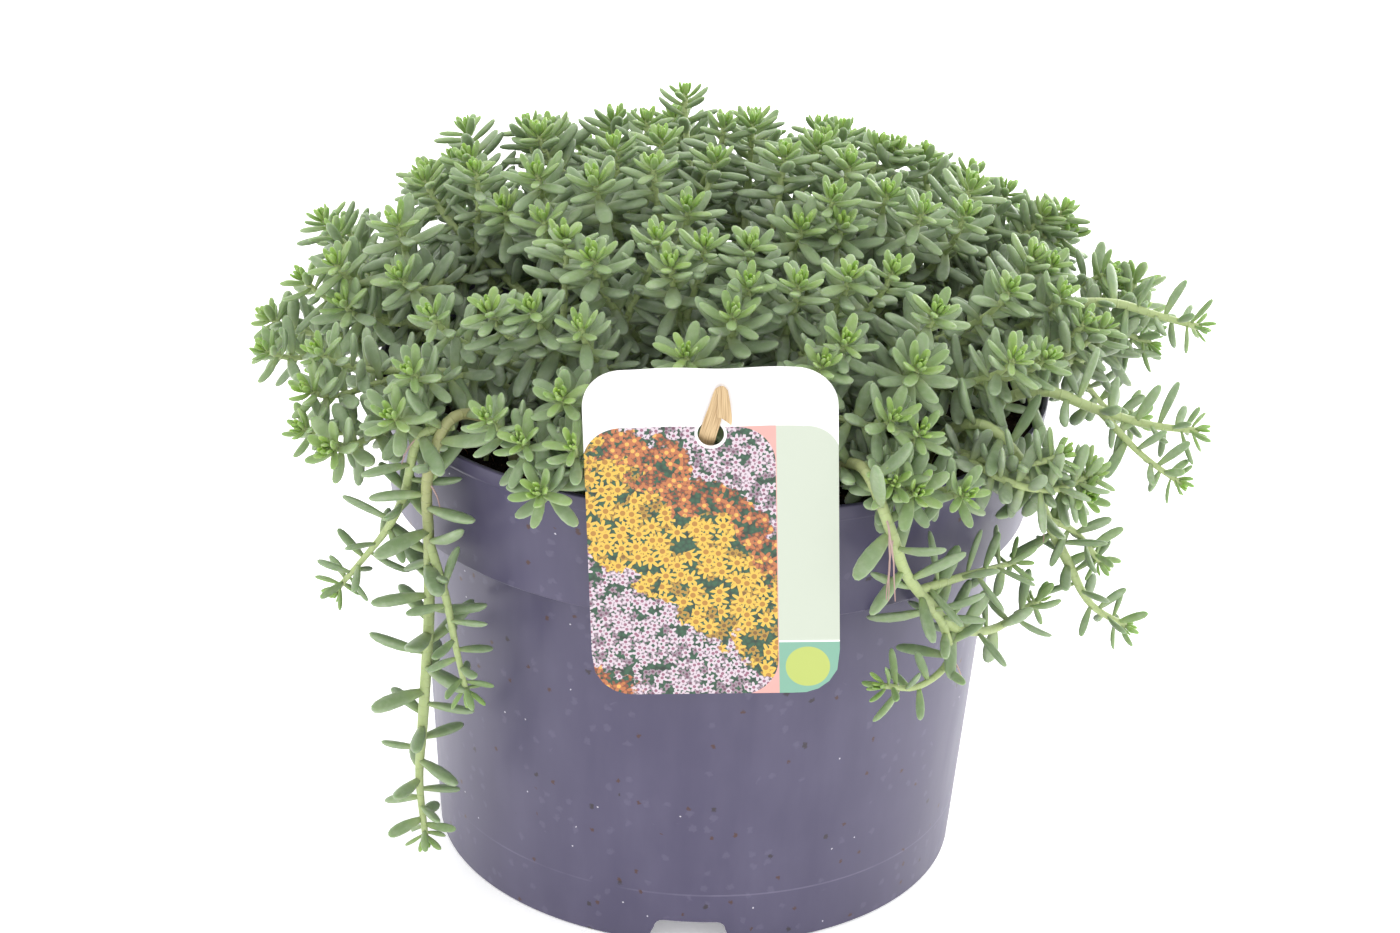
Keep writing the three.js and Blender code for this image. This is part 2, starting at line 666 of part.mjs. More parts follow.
// A solid built corner by corner and face by face.
class FacetedSolid {
  constructor() {
    this.corners = [];
    this.faces = [];
  }

  corner(point) {
    this.corners.push(point);
    return this.corners.length - 1;
  }

  // A club-shaped leaf raised from a face. Its three corners where it is widest lie the same way round
  // it as the face's own, so that its sides don't twist into its neighbours.
  raiseLeaf(face, { foot, direction, upper, size }) {
    const side = direction.clone().cross(upper).normalize();
    const flat = side.clone().cross(direction).normalize();
    const offsets = face.map((corner) => {
      const from = this.corners[corner].clone().sub(foot);
      return [from.dot(side), from.dot(flat)];
    });
    const extent = (axis) => {
      const along = offsets.map((offset) => offset[axis]);
      return Math.max(...along) - Math.min(...along);
    };
    const [widen, thicken] = [size.width / extent(0), size.thickness / extent(1)];
    const middle = foot.clone().addScaledVector(direction, size.length * LEAF_WIDEST_AT);
    const wide = offsets.map(([across, up]) => this.corner(middle.clone()
      .addScaledVector(side, across * widen).addScaledVector(flat, up * thicken)));
    const tip = this.corner(foot.clone().addScaledVector(direction, size.length));
    for (let i = 0; i < 3; i += 1) {
      const next = (i + 1) % 3;
      this.faces.push([face[i], face[next], wide[next]]);
      this.faces.push([face[i], wide[next], wide[i]]);
      this.faces.push([wide[i], wide[next], tip]);
    }
  }

  raisePoint(face, point) {
    const tip = this.corner(point);
    face.forEach((corner, i) => this.faces.push([corner, face[(i + 1) % 3], tip]));
  }

  geometry() {
    const geometry = new THREE.BufferGeometry();
    geometry.setAttribute('position', new THREE.Float32BufferAttribute(
      this.corners.flatMap((corner) => corner.toArray()), 3));
    geometry.setIndex(this.faces.flat());
    return geometry;
  }
}

// A leaf as stretches of the thickness that it has there, for keeping it clear.
function leafStretches({ foot, direction, size }, spray) {
  const at = (share) => foot.clone().addScaledVector(direction, size.length * share);
  return [
    { from: at(0.2), to: at(0.5), radius: 0.35 * size.width, spray },
    { from: at(0.5), to: at(0.75), radius: 0.5 * size.width, spray },
    { from: at(0.75), to: at(1), radius: 0.22 * size.width, spray },
  ];
}

// The leaf on a face, turned until it is clear, or null.
function clearLeaf(face, solid, along, size, spray) {
  const foot = new THREE.Vector3();
  face.forEach((corner) => foot.addScaledVector(solid.corners[corner], 1 / 3));
  const [a, b, c] = face.map((corner) => solid.corners[corner]);
  const outward = b.clone().sub(a).cross(c.clone().sub(a));
  outward.addScaledVector(along, -outward.dot(along)).normalize();
  for (const [turn, extra] of LEAF_TRIES) {
    const around = outward.clone().applyAxisAngle(along, THREE.MathUtils.degToRad(turn));
    const angle = THREE.MathUtils.degToRad(size.lift + extra);
    const direction = around.multiplyScalar(Math.cos(angle)).addScaledVector(along, Math.sin(angle));
    direction.z += LEAF_RISE;
    direction.normalize();
    const leaf = { foot, direction, upper: along, size };
    const stretches = leafStretches(leaf, spray);
    const clear = stretches.every(({ from, to, radius }) => (
      stretchClearsHolder(from, to, radius) && clearsOthers(from, to, radius, spray)));
    if (clear) {
      standing.push(...stretches);
      return leaf;
    }
  }
  return null;
}

// A shoot: a three-cornered stem whose rings turn by a sixth from one to the next, so that the six
// faces of each node look six ways. A node bears leaves on some of them, and the last node is a
// rosette that ends in a bud.
const ROSETTE_FACES = [0, 1, 2, 3, 4, 5];
const WHORL_FACES = [[0, 2, 4], [1, 3, 5]];

function stemRings(solid, middles, nodes) {
  const across = new THREE.Vector3(1, 0.3, 0);
  return middles.map((middle, i) => {
    const ahead = middles[Math.min(i + 1, middles.length - 1)].clone().sub(middle).normalize();
    const behind = middle.clone().sub(middles[Math.max(i - 1, 0)]).normalize();
    const along = ahead.add(behind).normalize();
    across.addScaledVector(along, -across.dot(along)).normalize();
    across.applyAxisAngle(along, Math.PI / 3);
    const radius = nodes[i] || nodes[i - 1] ? NODE_RADIUS : STEM_RADIUS;
    return [0, 1, 2].map((k) => {
      const out = across.clone().applyAxisAngle(along, (k * 2 * Math.PI) / 3);
      return solid.corner(middle.clone().addScaledVector(out, radius));
    });
  });
}

function scaledLeaf(leaf, scale) {
  const [length, width, thickness] = [leaf.length * scale, leaf.width * scale, leaf.thickness * scale];
  return { length, width, thickness, lift: leaf.lift };
}

// The six faces between two rings, each bare or with its leaf.
function addBand(solid, [lower, upper], { bearing, along, last, shoot }) {
  const band = [0, 1, 2].flatMap((k) => {
    const next = (k + 1) % 3;
    return [[lower[k], lower[next], upper[k]], [lower[next], upper[next], upper[k]]];
  });
  band.forEach((face, k) => {
    const young = last && k % 2 === 1;
    const kind = young ? YOUNG_LEAF : (last ? ROSETTE_LEAF : STEM_LEAF);
    const size = scaledLeaf(kind, shoot.size);
    const leaf = bearing.includes(k) ? clearLeaf(face, solid, along, size, shoot.spray) : null;
    if (leaf && young) {
      solid.raisePoint(face, leaf.foot.clone().addScaledVector(leaf.direction, size.length));
    } else if (leaf) {
      solid.raiseLeaf(face, leaf);
    } else {
      solid.faces.push(face);
    }
  });
}

function shootSolid(shoot) {
  const solid = new FacetedSolid();
  const places = ringPlaces(shoot);
  const nodes = places.map((place, i) => (
    i < places.length - 1 && Math.abs(place - places[i + 1] - NODE_LENGTH) < 1e-6));
  const middles = places.map((place) => shoot.course.at(place));
  const rings = stemRings(solid, middles, nodes);
  solid.faces.push([rings[0][2], rings[0][1], rings[0][0]]);
  let whorl = 0;
  for (let i = 0; i < rings.length - 1; i += 1) {
    const last = i === rings.length - 2;
    const along = middles[i + 1].clone().sub(middles[i]).normalize();
    let bearing = [];
    if (nodes[i]) {
      bearing = last ? ROSETTE_FACES : WHORL_FACES[whorl % 2];
      whorl += 1;
    }
    addBand(solid, [rings[i], rings[i + 1]], { bearing, along, last, shoot });
  }
  const bud = shoot.course.at(0).addScaledVector(shoot.course.directionAt(0), BUD_LENGTH);
  solid.raisePoint(rings[rings.length - 1], bud);
  return solidFrom(solid.geometry());
}

// A long stem runs smoothly through its points.
function longCourse(points) {
  return new Course(new THREE.CatmullRomCurve3(points).getPoints(LONG_COURSE_STEPS));
}

// All the sprays' courses are laid first, so that every stem stands clear of the others. A branch that
// finds no clear way to its tip is left out.
function layCourses() {
  const sprays = [];
  const keep = (shoot) => {
    standing.push(...stemStretches(shoot));
    sprays[shoot.spray].push(shoot);
  };
  for (const lists of LONG_SPRAYS) {
    const spray = sprays.push([]) - 1;
    lists.forEach((list, i) => {
      const rooted = i === 0;
      const points = list.map((point) => new THREE.Vector3(...point));
      const [{ x, y }] = points;
      if (rooted) {
        points.unshift(new THREE.Vector3(x, y, SOIL_HEIGHT - HOLE_DEPTH + GAP));
      } else {
        points[0] = onFacetedLine(sprays[spray][0], points[0]);
      }
      const course = longCourse(points);
      const leafyLength = course.length - (rooted ? LONG_STEM_BARE : LONG_BRANCH_BARE);
      const shoot = { course, spray, rooted, size: LEADER.size, leafyLength };
      keep(shoot);
      if (rooted) {
        roots.push(new THREE.Vector3(x, y, 0));
      }
    });
  }
  const domeSprays = [...FRONT_SPRAYS.map((row) => row.map(sightedTip)), ...backTips()];
  for (const tips of domeSprays) {
    const spray = sprays.push([]) - 1;
    const main = leader(tips, { ...LEADER, spray });
    keep(main);
    for (const tip of tips.slice(1)) {
      const fork = branch(main, tip, { ...BRANCH, spray });
      if (fork) {
        keep(fork);
      }
    }
  }
  return sprays;
}

function makeSpray(shoots, number) {
  const joined = shoots.map(shootSolid).reduce((whole, shoot) => whole.add(shoot));
  const bodies = joined.decompose().sort((a, b) => b.volume() - a.volume());
  const name = `spray_${String(number + 1).padStart(2, '0')}`;
  return named(name, geometryFrom(bodies[0]), plastic('#7d9b63', 0.55));
}

const group = new THREE.Group();
const sprays = layCourses();
const tieSlot = solidFrom(tieGeometry(TIE_WIDTH + 2 * GAP, TIE_THICKNESS + 2 * GAP, TIE_COURSE));
group.add(makePot(), makeSoil(roots, tieSlot), makeLabel(), makeTie());
sprays.forEach((shoots, number) => group.add(makeSpray(shoots, number)));

export default group;
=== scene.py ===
import functools
import json
import math
import random

import bmesh
import bpy
import numpy as np
from bpy.props import FloatProperty, FloatVectorProperty, IntProperty, PointerProperty
from mathutils import Matrix, Vector, noise

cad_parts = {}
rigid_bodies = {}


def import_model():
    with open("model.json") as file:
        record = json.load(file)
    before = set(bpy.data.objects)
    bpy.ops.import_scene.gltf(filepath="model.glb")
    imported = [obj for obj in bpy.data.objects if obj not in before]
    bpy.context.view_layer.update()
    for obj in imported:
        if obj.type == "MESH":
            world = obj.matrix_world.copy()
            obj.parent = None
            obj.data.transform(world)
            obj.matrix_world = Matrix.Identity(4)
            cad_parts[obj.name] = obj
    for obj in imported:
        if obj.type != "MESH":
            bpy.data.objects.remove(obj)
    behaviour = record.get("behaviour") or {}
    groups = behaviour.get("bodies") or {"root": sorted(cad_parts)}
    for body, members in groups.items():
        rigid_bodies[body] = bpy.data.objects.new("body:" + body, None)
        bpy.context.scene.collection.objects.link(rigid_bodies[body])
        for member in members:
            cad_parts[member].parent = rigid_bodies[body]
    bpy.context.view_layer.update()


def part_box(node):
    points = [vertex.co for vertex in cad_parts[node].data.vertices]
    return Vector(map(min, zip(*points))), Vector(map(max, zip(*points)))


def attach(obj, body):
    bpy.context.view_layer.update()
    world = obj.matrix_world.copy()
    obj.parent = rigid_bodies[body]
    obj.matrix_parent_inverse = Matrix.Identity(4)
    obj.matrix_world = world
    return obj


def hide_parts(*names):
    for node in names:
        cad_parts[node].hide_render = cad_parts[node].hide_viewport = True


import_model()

bl_info = {
    "name": "Potted White Stonecrop",
    "version": (1, 0, 0),
    "blender": (4, 5, 0),
    "location": "View3D > Sidebar > Stonecrop",
    "description": "Builds a stonecrop in its nursery pot: pot, soil, label, tie, stems and leaves",
    "category": "Object",
}

# Lengths in the layout are millimetres, and +Z is up. The origin is the middle of the pot's
# underside.
MM = 0.001
BODY = "root"
GAP = 0.3

# The pot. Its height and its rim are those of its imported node.
POT_TOP_CORNER = np.array(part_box("pot")[1]) / MM
POT_HEIGHT = float(POT_TOP_CORNER[2])
RIM_RADIUS = float(POT_TOP_CORNER[0])
COLLAR_FOOT_RADIUS = 91.1
COLLAR_FOOT_HEIGHT = 109.0
BODY_TOP_RADIUS = 83.4
FOOT_RADIUS = 75.9
WALL = 1.6
CHANNEL_HEIGHT = 9.0
CHANNEL_INNER_RADIUS = 58.0
CHANNEL_SLOPE = 2.0
DRAIN_HOLES = 8
DRAIN_RADIUS = 4.0
NOTCHES = 4
NOTCH_WIDTH = 20.0
NOTCH_HEIGHT = 7.5
NOTCH_FLARE = 2.5
NOTCH_CORNER = 2.5
NOTCH_BELOW = 1.0
# A slim bead stiffens the rim.
BEAD_HEIGHT = 4.0
BEAD_DEPTH = 0.35
BEAD_SLOPE = 0.6
# Where the next pot of a stack rubs the wall.
RUB_HEIGHT = 16.5
RUB_WIDTH = 0.5

# The soil. Its bumps fade over the edge's width, and a layer of clods has a width, a height and its
# own slice of the noise.
SOIL_HEIGHT = 130.0
SOIL_BUMP = 1.6
SOIL_EDGE = 6.0
SOIL_WAVES = (13, 11)
CLODS = ((7, 1.3, 0), (2.6, 0.7, 4))
# The holes that the sprays are rooted in, and how far a stem rises straight up over the soil.
HOLE_DEPTH = 14.0
HOLE_SPACING = 8.0
UPRIGHT_OVER_SOIL = 4.5

# Crumbs: the least and the most of their widths, as shares of the crumb size, and how far they are
# turned.
CRUMB_LEAST = (0.35, 0.3, 0.25)
CRUMB_MOST = (1.4, 1.1, 0.8)
CRUMB_TURN = 6.3
CRUMB_SEED = 3
CRUMB_SIZE_SEED = 7

# Coir fibres: how far from the wall they start and end, and how they lie.
FIBRE_SEED = 11
FIBRE_START_GAP = 8
FIBRE_END_GAP = 2
FIBRE_SIDES = 4
FIBRE_STEPS = 7
FIBRE_CURL = 0.5
FIBRE_REST = 0.25
FIBRE_LENGTH = (4, 14)
FIBRE_LIFT = (0.2, 2.2)
FIBRE_RADIUS = (0.12, 0.28)

# The label and its tie.
LABEL_WIDTH = 65.0
LABEL_HEIGHT = 93.0
LABEL_THICKNESS = 0.6
LABEL_CORNER = 10.5
LABEL_MIDDLE = (1.5, 137.0)
LABEL_TURN = math.radians(3.5)
LABEL_HOLE_RADIUS = 3.4
LABEL_HOLE_ABOVE_MIDDLE = 28.5
# The waves of the label's upper edge, and how far over its middle they start.
LABEL_WAVE_STRETCH = 4.1
LABEL_WAVE_SHIFT = 0.8
LABEL_WAVE_FROM = 8
# The room that the tie takes up on both sides of the label.
TIE_WIDTH = 6.3
TIE_TOP = 17.0
TIE_LEAN = math.radians(-15)
TIE_SLAB = {"half": 3.0, "slope": 0.36, "start": -0.5, "upright_from": 4.0}

# The dome that the shoots' tips reach, and how the stems are laid in it.
DOME_MIDDLE = np.array((0.0, 4.0, 134.0))
DOME_RADII = np.array((130.0, 112.0, 74.0))
NODE_RADIUS = 1.8
NODE_LENGTH = 3.2
WHORL_SPACING = 14.0
BARE_SPAN_TURN = math.radians(45)
BARE_AT_FORK = 4.0
UPWARD_PULL = 0.35
LEADER_LEAFY = 20.0
BRANCH_LEAFY = 10.0
LONG_STEM_BARE = 55.0
LONG_BRANCH_BARE = 8.0
SHARPEST_BEND = math.radians(72)
ROOT_SPREAD = 0.52
ROOT_LIMIT = 77.0
ROOT_TURNS = 8
ROOT_STEP = 3
ROOT_REACH = 12
SWAYS = (0, 5, -5, 10, -10, 16, -16)
RISES = (1, 1.25, 1.5, 0.8, 1.8, 2.2)
FORKS = (0.5, 0.6, 0.4, 0.7, 0.3)
FOOT_HOLD = 0.42
TIP_HOLD = 0.34
FOOT_SWAY = 0.6
COURSE_STEPS = 24
LONG_COURSE_STEPS = 72

# The tips of the shoots at the front and along the outline, as they are sighted from in front of
# the pot and above it: across and up in the upright plane through the pot's axis, then, where it
# isn't 0, how far the tip stands out of the dome. A row is one spray, and its first tip is its
# leading shoot's.
SIGHTED_FROM = np.array((-2.6, -863.0, 506.0))
FRONT_SPRAYS = (
    ((-110, 183), (-107, 170), (-90, 183)),
    ((-82, 196), (-68, 199), (-89, 167, -8)),
    ((-71, 211), (-60, 189, -8)),
    ((-54, 213), (-51, 199), (-49, 186, -6)),
    ((-116, 165), (-105, 158, -8)),
    ((-126, 153), (-127, 143)),
    ((-80, 156), (-86, 138)),
    ((-52, 159), (-64, 158), (-43, 181)),
    ((-112, 143), (-115, 131)),
    ((-30, 208), (-17, 211), (-35, 198)),
    ((-11, 224), (0, 216)),
    ((-19, 203), (-2, 206, -4), (-9, 191, -6)),
    ((-35, 175), (-17, 182)),
    ((-13, 174), (-4, 180)),
    ((9, 181), (9, 169)),
    ((5, 160), (-8, 147)),
    ((-38, 154), (-43, 132)),
    ((17, 208), (26, 211), (23, 187, -6)),
    ((35, 206), (31, 196), (34, 188, -6)),
    ((48, 211), (46, 198), (56, 193)),
    ((69, 201), (79, 200), (68, 193)),
    ((23, 170), (37, 153)),
    ((37, 173), (49, 175)),
    ((82, 171), (88, 181)),
    ((62, 163), (58, 146)),
    ((85, 150), (94, 151)),
    ((31, 146), (52, 130)),
    ((95, 195), (93, 179)),
    ((97, 170), (109, 177), (117, 176)),
    ((104, 162), (118, 167), (109, 161)),
    ((101, 121), (110, 116), (109, 108)),
    ((60, 107), (53, 110), (60, 126)),
    ((74, 107), (82, 97)),
    ((-49, 102), (-54, 118), (-39, 117), (-64, 125)),
    ((-109, 113), (-91, 124), (-117, 119)),
    ((0, 128, -20), (-22, 132, -14), (20, 132, -14)),
)

# The long stems, from the soil to the tip. The later lists of a row fork off the first.
LONG_SPRAYS = (
    (
        ((-52, -54, 134), (-58, -60, 150), (-68, -69, 155), (-74, -73, 141), (-74, -71, 120),
         (-74, -69, 98), (-75, -66, 78), (-76, -65, 60), (-77, -63, 42), (-75, -65, 24)),
        ((-68, -69, 155), (-76, -70, 150), (-81, -68, 131), (-86, -64, 119), (-93, -61, 108),
         (-100, -59, 98)),
        ((-74, -71, 120), (-69, -75, 105), (-66, -77, 91), (-63, -78, 78)),
    ),
    (
        ((58, -44, 134), (64, -52, 150), (73, -60, 155), (84, -58, 143), (92, -52, 125),
         (99, -49, 111), (107, -47, 97), (117, -45, 90)),
        ((92, -52, 125), (100, -51, 121), (108, -49, 111)),
    ),
    (
        ((30, -66, 134), (34, -77, 149), (40, -92, 155), (47, -97, 141), (52, -91, 126),
         (59, -83, 114), (67, -76, 103), (79, -64, 97), (92, -51, 100)),
        ((59, -83, 114), (64, -80, 105), (66, -80, 95), (58, -86, 90), (48, -92, 93)),
        ((55, -85, 119), (69, -75, 118), (84, -57, 114)),
    ),
    (
        ((66, -36, 134), (74, -42, 152), (88, -46, 160), (104, -46, 155), (118, -45, 151),
         (131, -43, 149)),
        ((104, -46, 155), (116, -52, 145), (126, -55, 139)),
    ),
    (
        ((70, -8, 134), (80, -10, 156), (96, -10, 170), (110, -10, 172), (122, -10, 169),
         (134, -10, 166)),
        ((96, -10, 170), (110, -5, 163), (122, -4, 158)),
    ),
)

# The back's sprays, at even turns from the right to the left.
BACK_RINGS = (
    {"sprays": 6, "from": 19, "to": 165, "heights": (24, 4, -10, 34), "spread": 9},
    {"sprays": 5, "from": 27, "to": 153, "heights": (44, 54, 36, 48), "spread": 11},
    {"sprays": 3, "from": 48, "to": 132, "heights": (63, 58, 72), "spread": 14},
)
BACK_SEED = 24
BACK_HEIGHT_PLAY = 6

# How finely the pieces are made, and from which angle on their edges are sharp.
SHARP_EDGE = math.radians(40)
TIE_SHARP_EDGE = math.radians(50)
POT_SIDES = 192
SOIL_SIDES = 160
SOIL_RINGS = 40
CARD_RAYS = 144
CARD_RINGS = (0, 0.04, 0.12, 0.25, 0.4, 0.6, 0.8, 0.95, 1)

# The strand's middle line, as sideways, up and out from the label's hole. It folds over at its top.
TIE_ROUTE = (
    (0, -48, -15), (0, -24, -9.5), (-0.4, -4, -2.1), (-0.6, 0, 0.3), (-0.6, 4, 2.2),
    (-0.6, 8, 2.7), (-0.7, 11, 2.5), (-0.6, 13.4, 2.4), (-0.3, 14.4, 2.8), (0.2, 13.4, 3.2),
    (1.1, 10.0, 3.35), (1.8, 7.4, 3.4), (2.2, 5.6, 3.35),
)
TIE_STEPS = 60
# Its width at its foot against its usual one, what it loses where it is gathered, the heights
# between which that happens and those of the fold, and how it is cupped and slanted.
TIE_SPREAD = 1.12
TIE_GATHERED = 0.36
TIE_GATHERS = (3, 13)
TIE_FOLD = (10, 14.4)
TIE_CUP = 0.18
TIE_FOLD_SLANT = 1.1
TIE_END_SLANT = 0.9

# Stems, and how thick each kind is. A stem swells and turns woody between two places from its tip,
# and has leaf scars.
STEM_STEP = 2.4
STEM_SIDES = 8
STEM_POINT = 1.2
STEM_POINT_THICKNESS = 0.3
STEM_TIP_THICKNESS = 0.62
STEM_SWELLS = (0, 45)
STEM_RIPENS = (35, 140)
SCAR_SPACING = 3.0
STEM_THICKNESS = {"leader": 1.0, "branch": 0.9, "long": 1.15, "long_branch": 0.95, "low": 0.7}
# Air roots: the spray, which of its shoots, the place as a share of the course from the tip, the
# heading in degrees and the length.
AIR_ROOTS = (
    (2, 0, 0.57, -72, 23), (2, 0, 0.55, -84, 20), (2, 0, 0.53, -98, 17), (2, 0, 0.64, -60, 9),
    (2, 1, 0.55, -30, 8), (0, 1, 0.86, 200, 10), (0, 0, 0.62, -30, 8), (0, 0, 0.46, -20, 5),
    (1, 0, 0.35, -90, 8),
)
AIR_ROOT_SIDES = 5
AIR_ROOT_STEPS = 7
AIR_ROOT_SLOPE = -0.3
AIR_ROOT_SWAY = 0.1
AIR_ROOT_DROOP = -0.28
AIR_ROOT_ROOM = 0.3
AIR_ROOT_RADII = (0.32, 0.13)
# The sprays of each piece.
SPRAY_GROUPS = {
    "long": range(0, 5),
    "left": range(5, 22),
    "right": range(22, 41),
    "back": range(41, 55),
}

# Low shoots that cover the soil between the sprays: how many, the heights and leans that they are
# drawn from, how far each stands from the sprays' stems and from the next one, and how far to the
# front they come.
LOW_SHOOTS = 90
LOW_HEIGHTS = (13.0, 26.0)
LOW_LEAN = 7.0
LOW_FROM_STEMS = 3.2
LOW_APART = 9.0
LOW_FRONT = -38.0
LOW_SEED = 31
LOW_FOOT_DEPTH = 1.5
LOW_BEND = 0.15
LOW_COURSE_STEPS = 12

# Leaves: where they start over a shoot's foot, how far they reach on a leading shoot, their full
# length, the share of it on a low shoot, and the spacing of the grown ones.
BARE_FOOT = {"leader": 16.0, "branch": 4.0, "long": 40.0, "long_branch": 3.0, "low": 7.0}
LEADER_LEAVES = 68.0
FULL_LENGTH = (10.5, 12.8)
LOW_LEAVES = 0.8
LEAF_GAP = {"short": (1.4, 2.1), "long": (3.1, 4.1)}
GOLDEN_ANGLE = math.radians(137.5)

# Leaves by their number from the tip. They grow, and stand further apart, between two numbers. The
# first one is lifted from the shoot's cross plane by an angle in degrees, and a row of leans says
# between which numbers the leaves lean away from the tip, and by how many degrees.
YOUNG_LEAVES = 7
AGE_STEPS = 28
OLDEST = 2
LEAF_GROWS = (-1, 19)
LEAF_SPREADS = (5, 23)
LEAF_LIFT = 84
LEAF_LEANS = ((-2, 13, 70), (13, 25, 12))
# The first leaf's length as a share of a grown one's, its place over the tip and the least spacing.
# Then how far from the middle of its shoot a leaf starts, its width in mm, what each mm of its
# length adds to that, and its thickness as a share of its width.
HEART_LENGTH = 0.24
HEART_PLACE = 0.6
HEART_GAP = 0.2
LEAF_FOOT = 0.6
LEAF_WIDTH = 0.42
LEAF_WIDENS = 0.3
LEAF_THICKNESS = 0.68
# Between two depths under the dome, leaves get as dull as if they were older. This is painted
# shade, for the lesser light inside the plant.
SHADE_DEPTHS = (0.1, 0.45)
SHADE_AGE = 0.7
# The leaves of the long stems are longer further from the tip, narrower, darker and never old.
HANGING_LENGTH = 12
HANGING_GAIN = 6
HANGING_GROWS = (10, 70)
HANGING_WIDTH = 0.82
HANGING_TONE = -0.35
HANGING_AGE = 0.5
# How a leaf is turned upwards and outwards to find a clear way, and the places along it that show
# whether it has one.
LEAF_TURNS = ((0, 0), (0.45, 0), (0, 0.45), (0.9, 0), (0, 0.9), (0.8, 0.8), (-0.5, 0))
LEAF_PROBES = (0.3, 0.6, 0.8, 1.0)
LEAF_PROBE_RADIUS = 1.2
# The room in front of the label that leaves keep free, and the foremost place of a leaf's tip.
LEAF_FREE_FRONT = 60.0
FOREMOST = -111.5

# Leaf forms: where a leaf is widest, the thickness of its upper side against its lower one, and
# each form's bend to its upper side and its sway sideways, as shares of its thickness and width.
LEAF_WIDEST = 0.57
FLAT_SIDE = 0.72
YOUNG_BENDS = ((0.5, 0.0), (0.9, 0.05))
YOUNG_RINGS = (0.0, 0.4, 0.75, 0.94)
YOUNG_SIDES = 6
GROWN_BENDS = ((0.7, 0.0), (0.3, 0.12), (-0.4, -0.1), (1.0, 0.08), (0.0, -0.16))
GROWN_RINGS = (0.0, 0.2, 0.45, 0.68, 0.86, 0.96)
GROWN_SIDES = 8

# The lamps, with their places in metres, their widths and their powers.
LAMPS = (
    ("key_lamp", (-0.7, -1.1, 1.5), 1.2, 9.0),
    ("fill_lamp", (0.9, -1.0, 1.1), 1.2, 3.0),
    ("left_rim_lamp", (-0.95, 1.2, 0.35), 1.0, 6.0),
    ("right_rim_lamp", (0.95, 1.2, 0.35), 1.2, 90.0),
    ("back_lamp", (-0.2, 1.2, 1.5), 1.2, 28.0),
)
FLOOR_BELOW = 0.2

# Where the photograph was taken from: an 85 mm lens on a full-frame sensor, a little rolled.
SIGHT_TARGET = (-2.6, 0.0, 112.4)
SIGHT_DISTANCE = 949.0
SIGHT_ELEVATION = math.radians(24.5)
SIGHT_ROLL = math.radians(2.45)
LENS = 85.0
SENSOR = 36.0


def unit(vector):
    """The vector, or each row of vectors, at length 1."""
    vector = np.asarray(vector, float)
    return vector / np.linalg.norm(vector, axis=-1, keepdims=True)


def smooth(low, high, value):
    """0 below low, 1 above high and an even curve between them."""
    share = np.clip((value - low) / (high - low), 0, 1)
    return share * share * (3 - 2 * share)


def seeded_draw(seed):
    """Draws that give the same row of numbers on every run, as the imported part's own."""
    state = seed

    def draw():
        nonlocal state
        state = (state * 1664525 + 1013904223) % 4294967296
        return state / 4294967296

    return draw


# Where the shoots' tips are

def sighted_tip(across, up, lift=0):
    """Where a sight line through the upright plane meets the dome, or passes closest to it."""
    radii = DOME_RADII + lift
    sight = np.array((across, 0.0, up)) - SIGHTED_FROM
    start = (SIGHTED_FROM - DOME_MIDDLE) / radii
    along = sight / radii
    a = along @ along
    b = start @ along
    inside = max(b * b - a * (start @ start - 1), 0)
    return SIGHTED_FROM + sight * ((-b - math.sqrt(inside)) / a)


def tip_direction(tip):
    """A shoot's tip points out of the dome, and a little more upwards than it."""
    outward = unit((tip - DOME_MIDDLE) / DOME_RADII / DOME_RADII)
    return unit(outward + np.array((0, 0, UPWARD_PULL)))


def back_tips():
    draw = seeded_draw(BACK_SEED)
    sprays = []
    for ring in BACK_RINGS:
        for i in range(ring["sprays"]):
            turn = ring["from"] + (ring["to"] - ring["from"]) * i / (ring["sprays"] - 1)
            tips = []
            for k, height in enumerate(ring["heights"]):
                side = (-1 if k % 2 == 0 else 1) * ring["spread"] * (0.6 + 0.4 * draw())
                around = math.radians(turn + side)
                over = math.radians(height + BACK_HEIGHT_PLAY * (draw() - 0.5))
                flat = math.cos(over)
                ball = np.array((flat * math.cos(around), flat * math.sin(around), math.sin(over)))
                tips.append(ball * DOME_RADII + DOME_MIDDLE)
            sprays.append(tips)
    return sprays


class Course:
    """A shoot's course: points from its foot to its tip, read by the distance from the tip."""

    def __init__(self, points):
        self.points = np.asarray(points, float)
        steps = np.linalg.norm(np.diff(self.points, axis=0), axis=1)
        self.from_tip = np.append(np.cumsum(steps[::-1])[::-1], 0.0)
        self.length = float(self.from_tip[0])

    def at(self, from_tip):
        last = len(self.points) - 2
        i = 0
        while i < last and self.from_tip[i + 1] > from_tip:
            i += 1
        span = self.from_tip[i] - self.from_tip[i + 1]
        share = (self.from_tip[i] - from_tip) / span if span > 0 else 0
        return self.points[i] + (self.points[i + 1] - self.points[i]) * share

    def direction_at(self, from_tip):
        ahead = self.at(max(from_tip - 1, 0))
        behind = self.at(min(from_tip + 1, self.length))
        return unit(ahead - behind)

    def turning(self, start, end, steps=8):
        """How far the course turns in all between two places."""
        ways = [self.direction_at(start + (end - start) * i / steps) for i in range(steps + 1)]
        return sum(math.acos(max(-1, min(1, a @ b))) for a, b in zip(ways, ways[1:]))


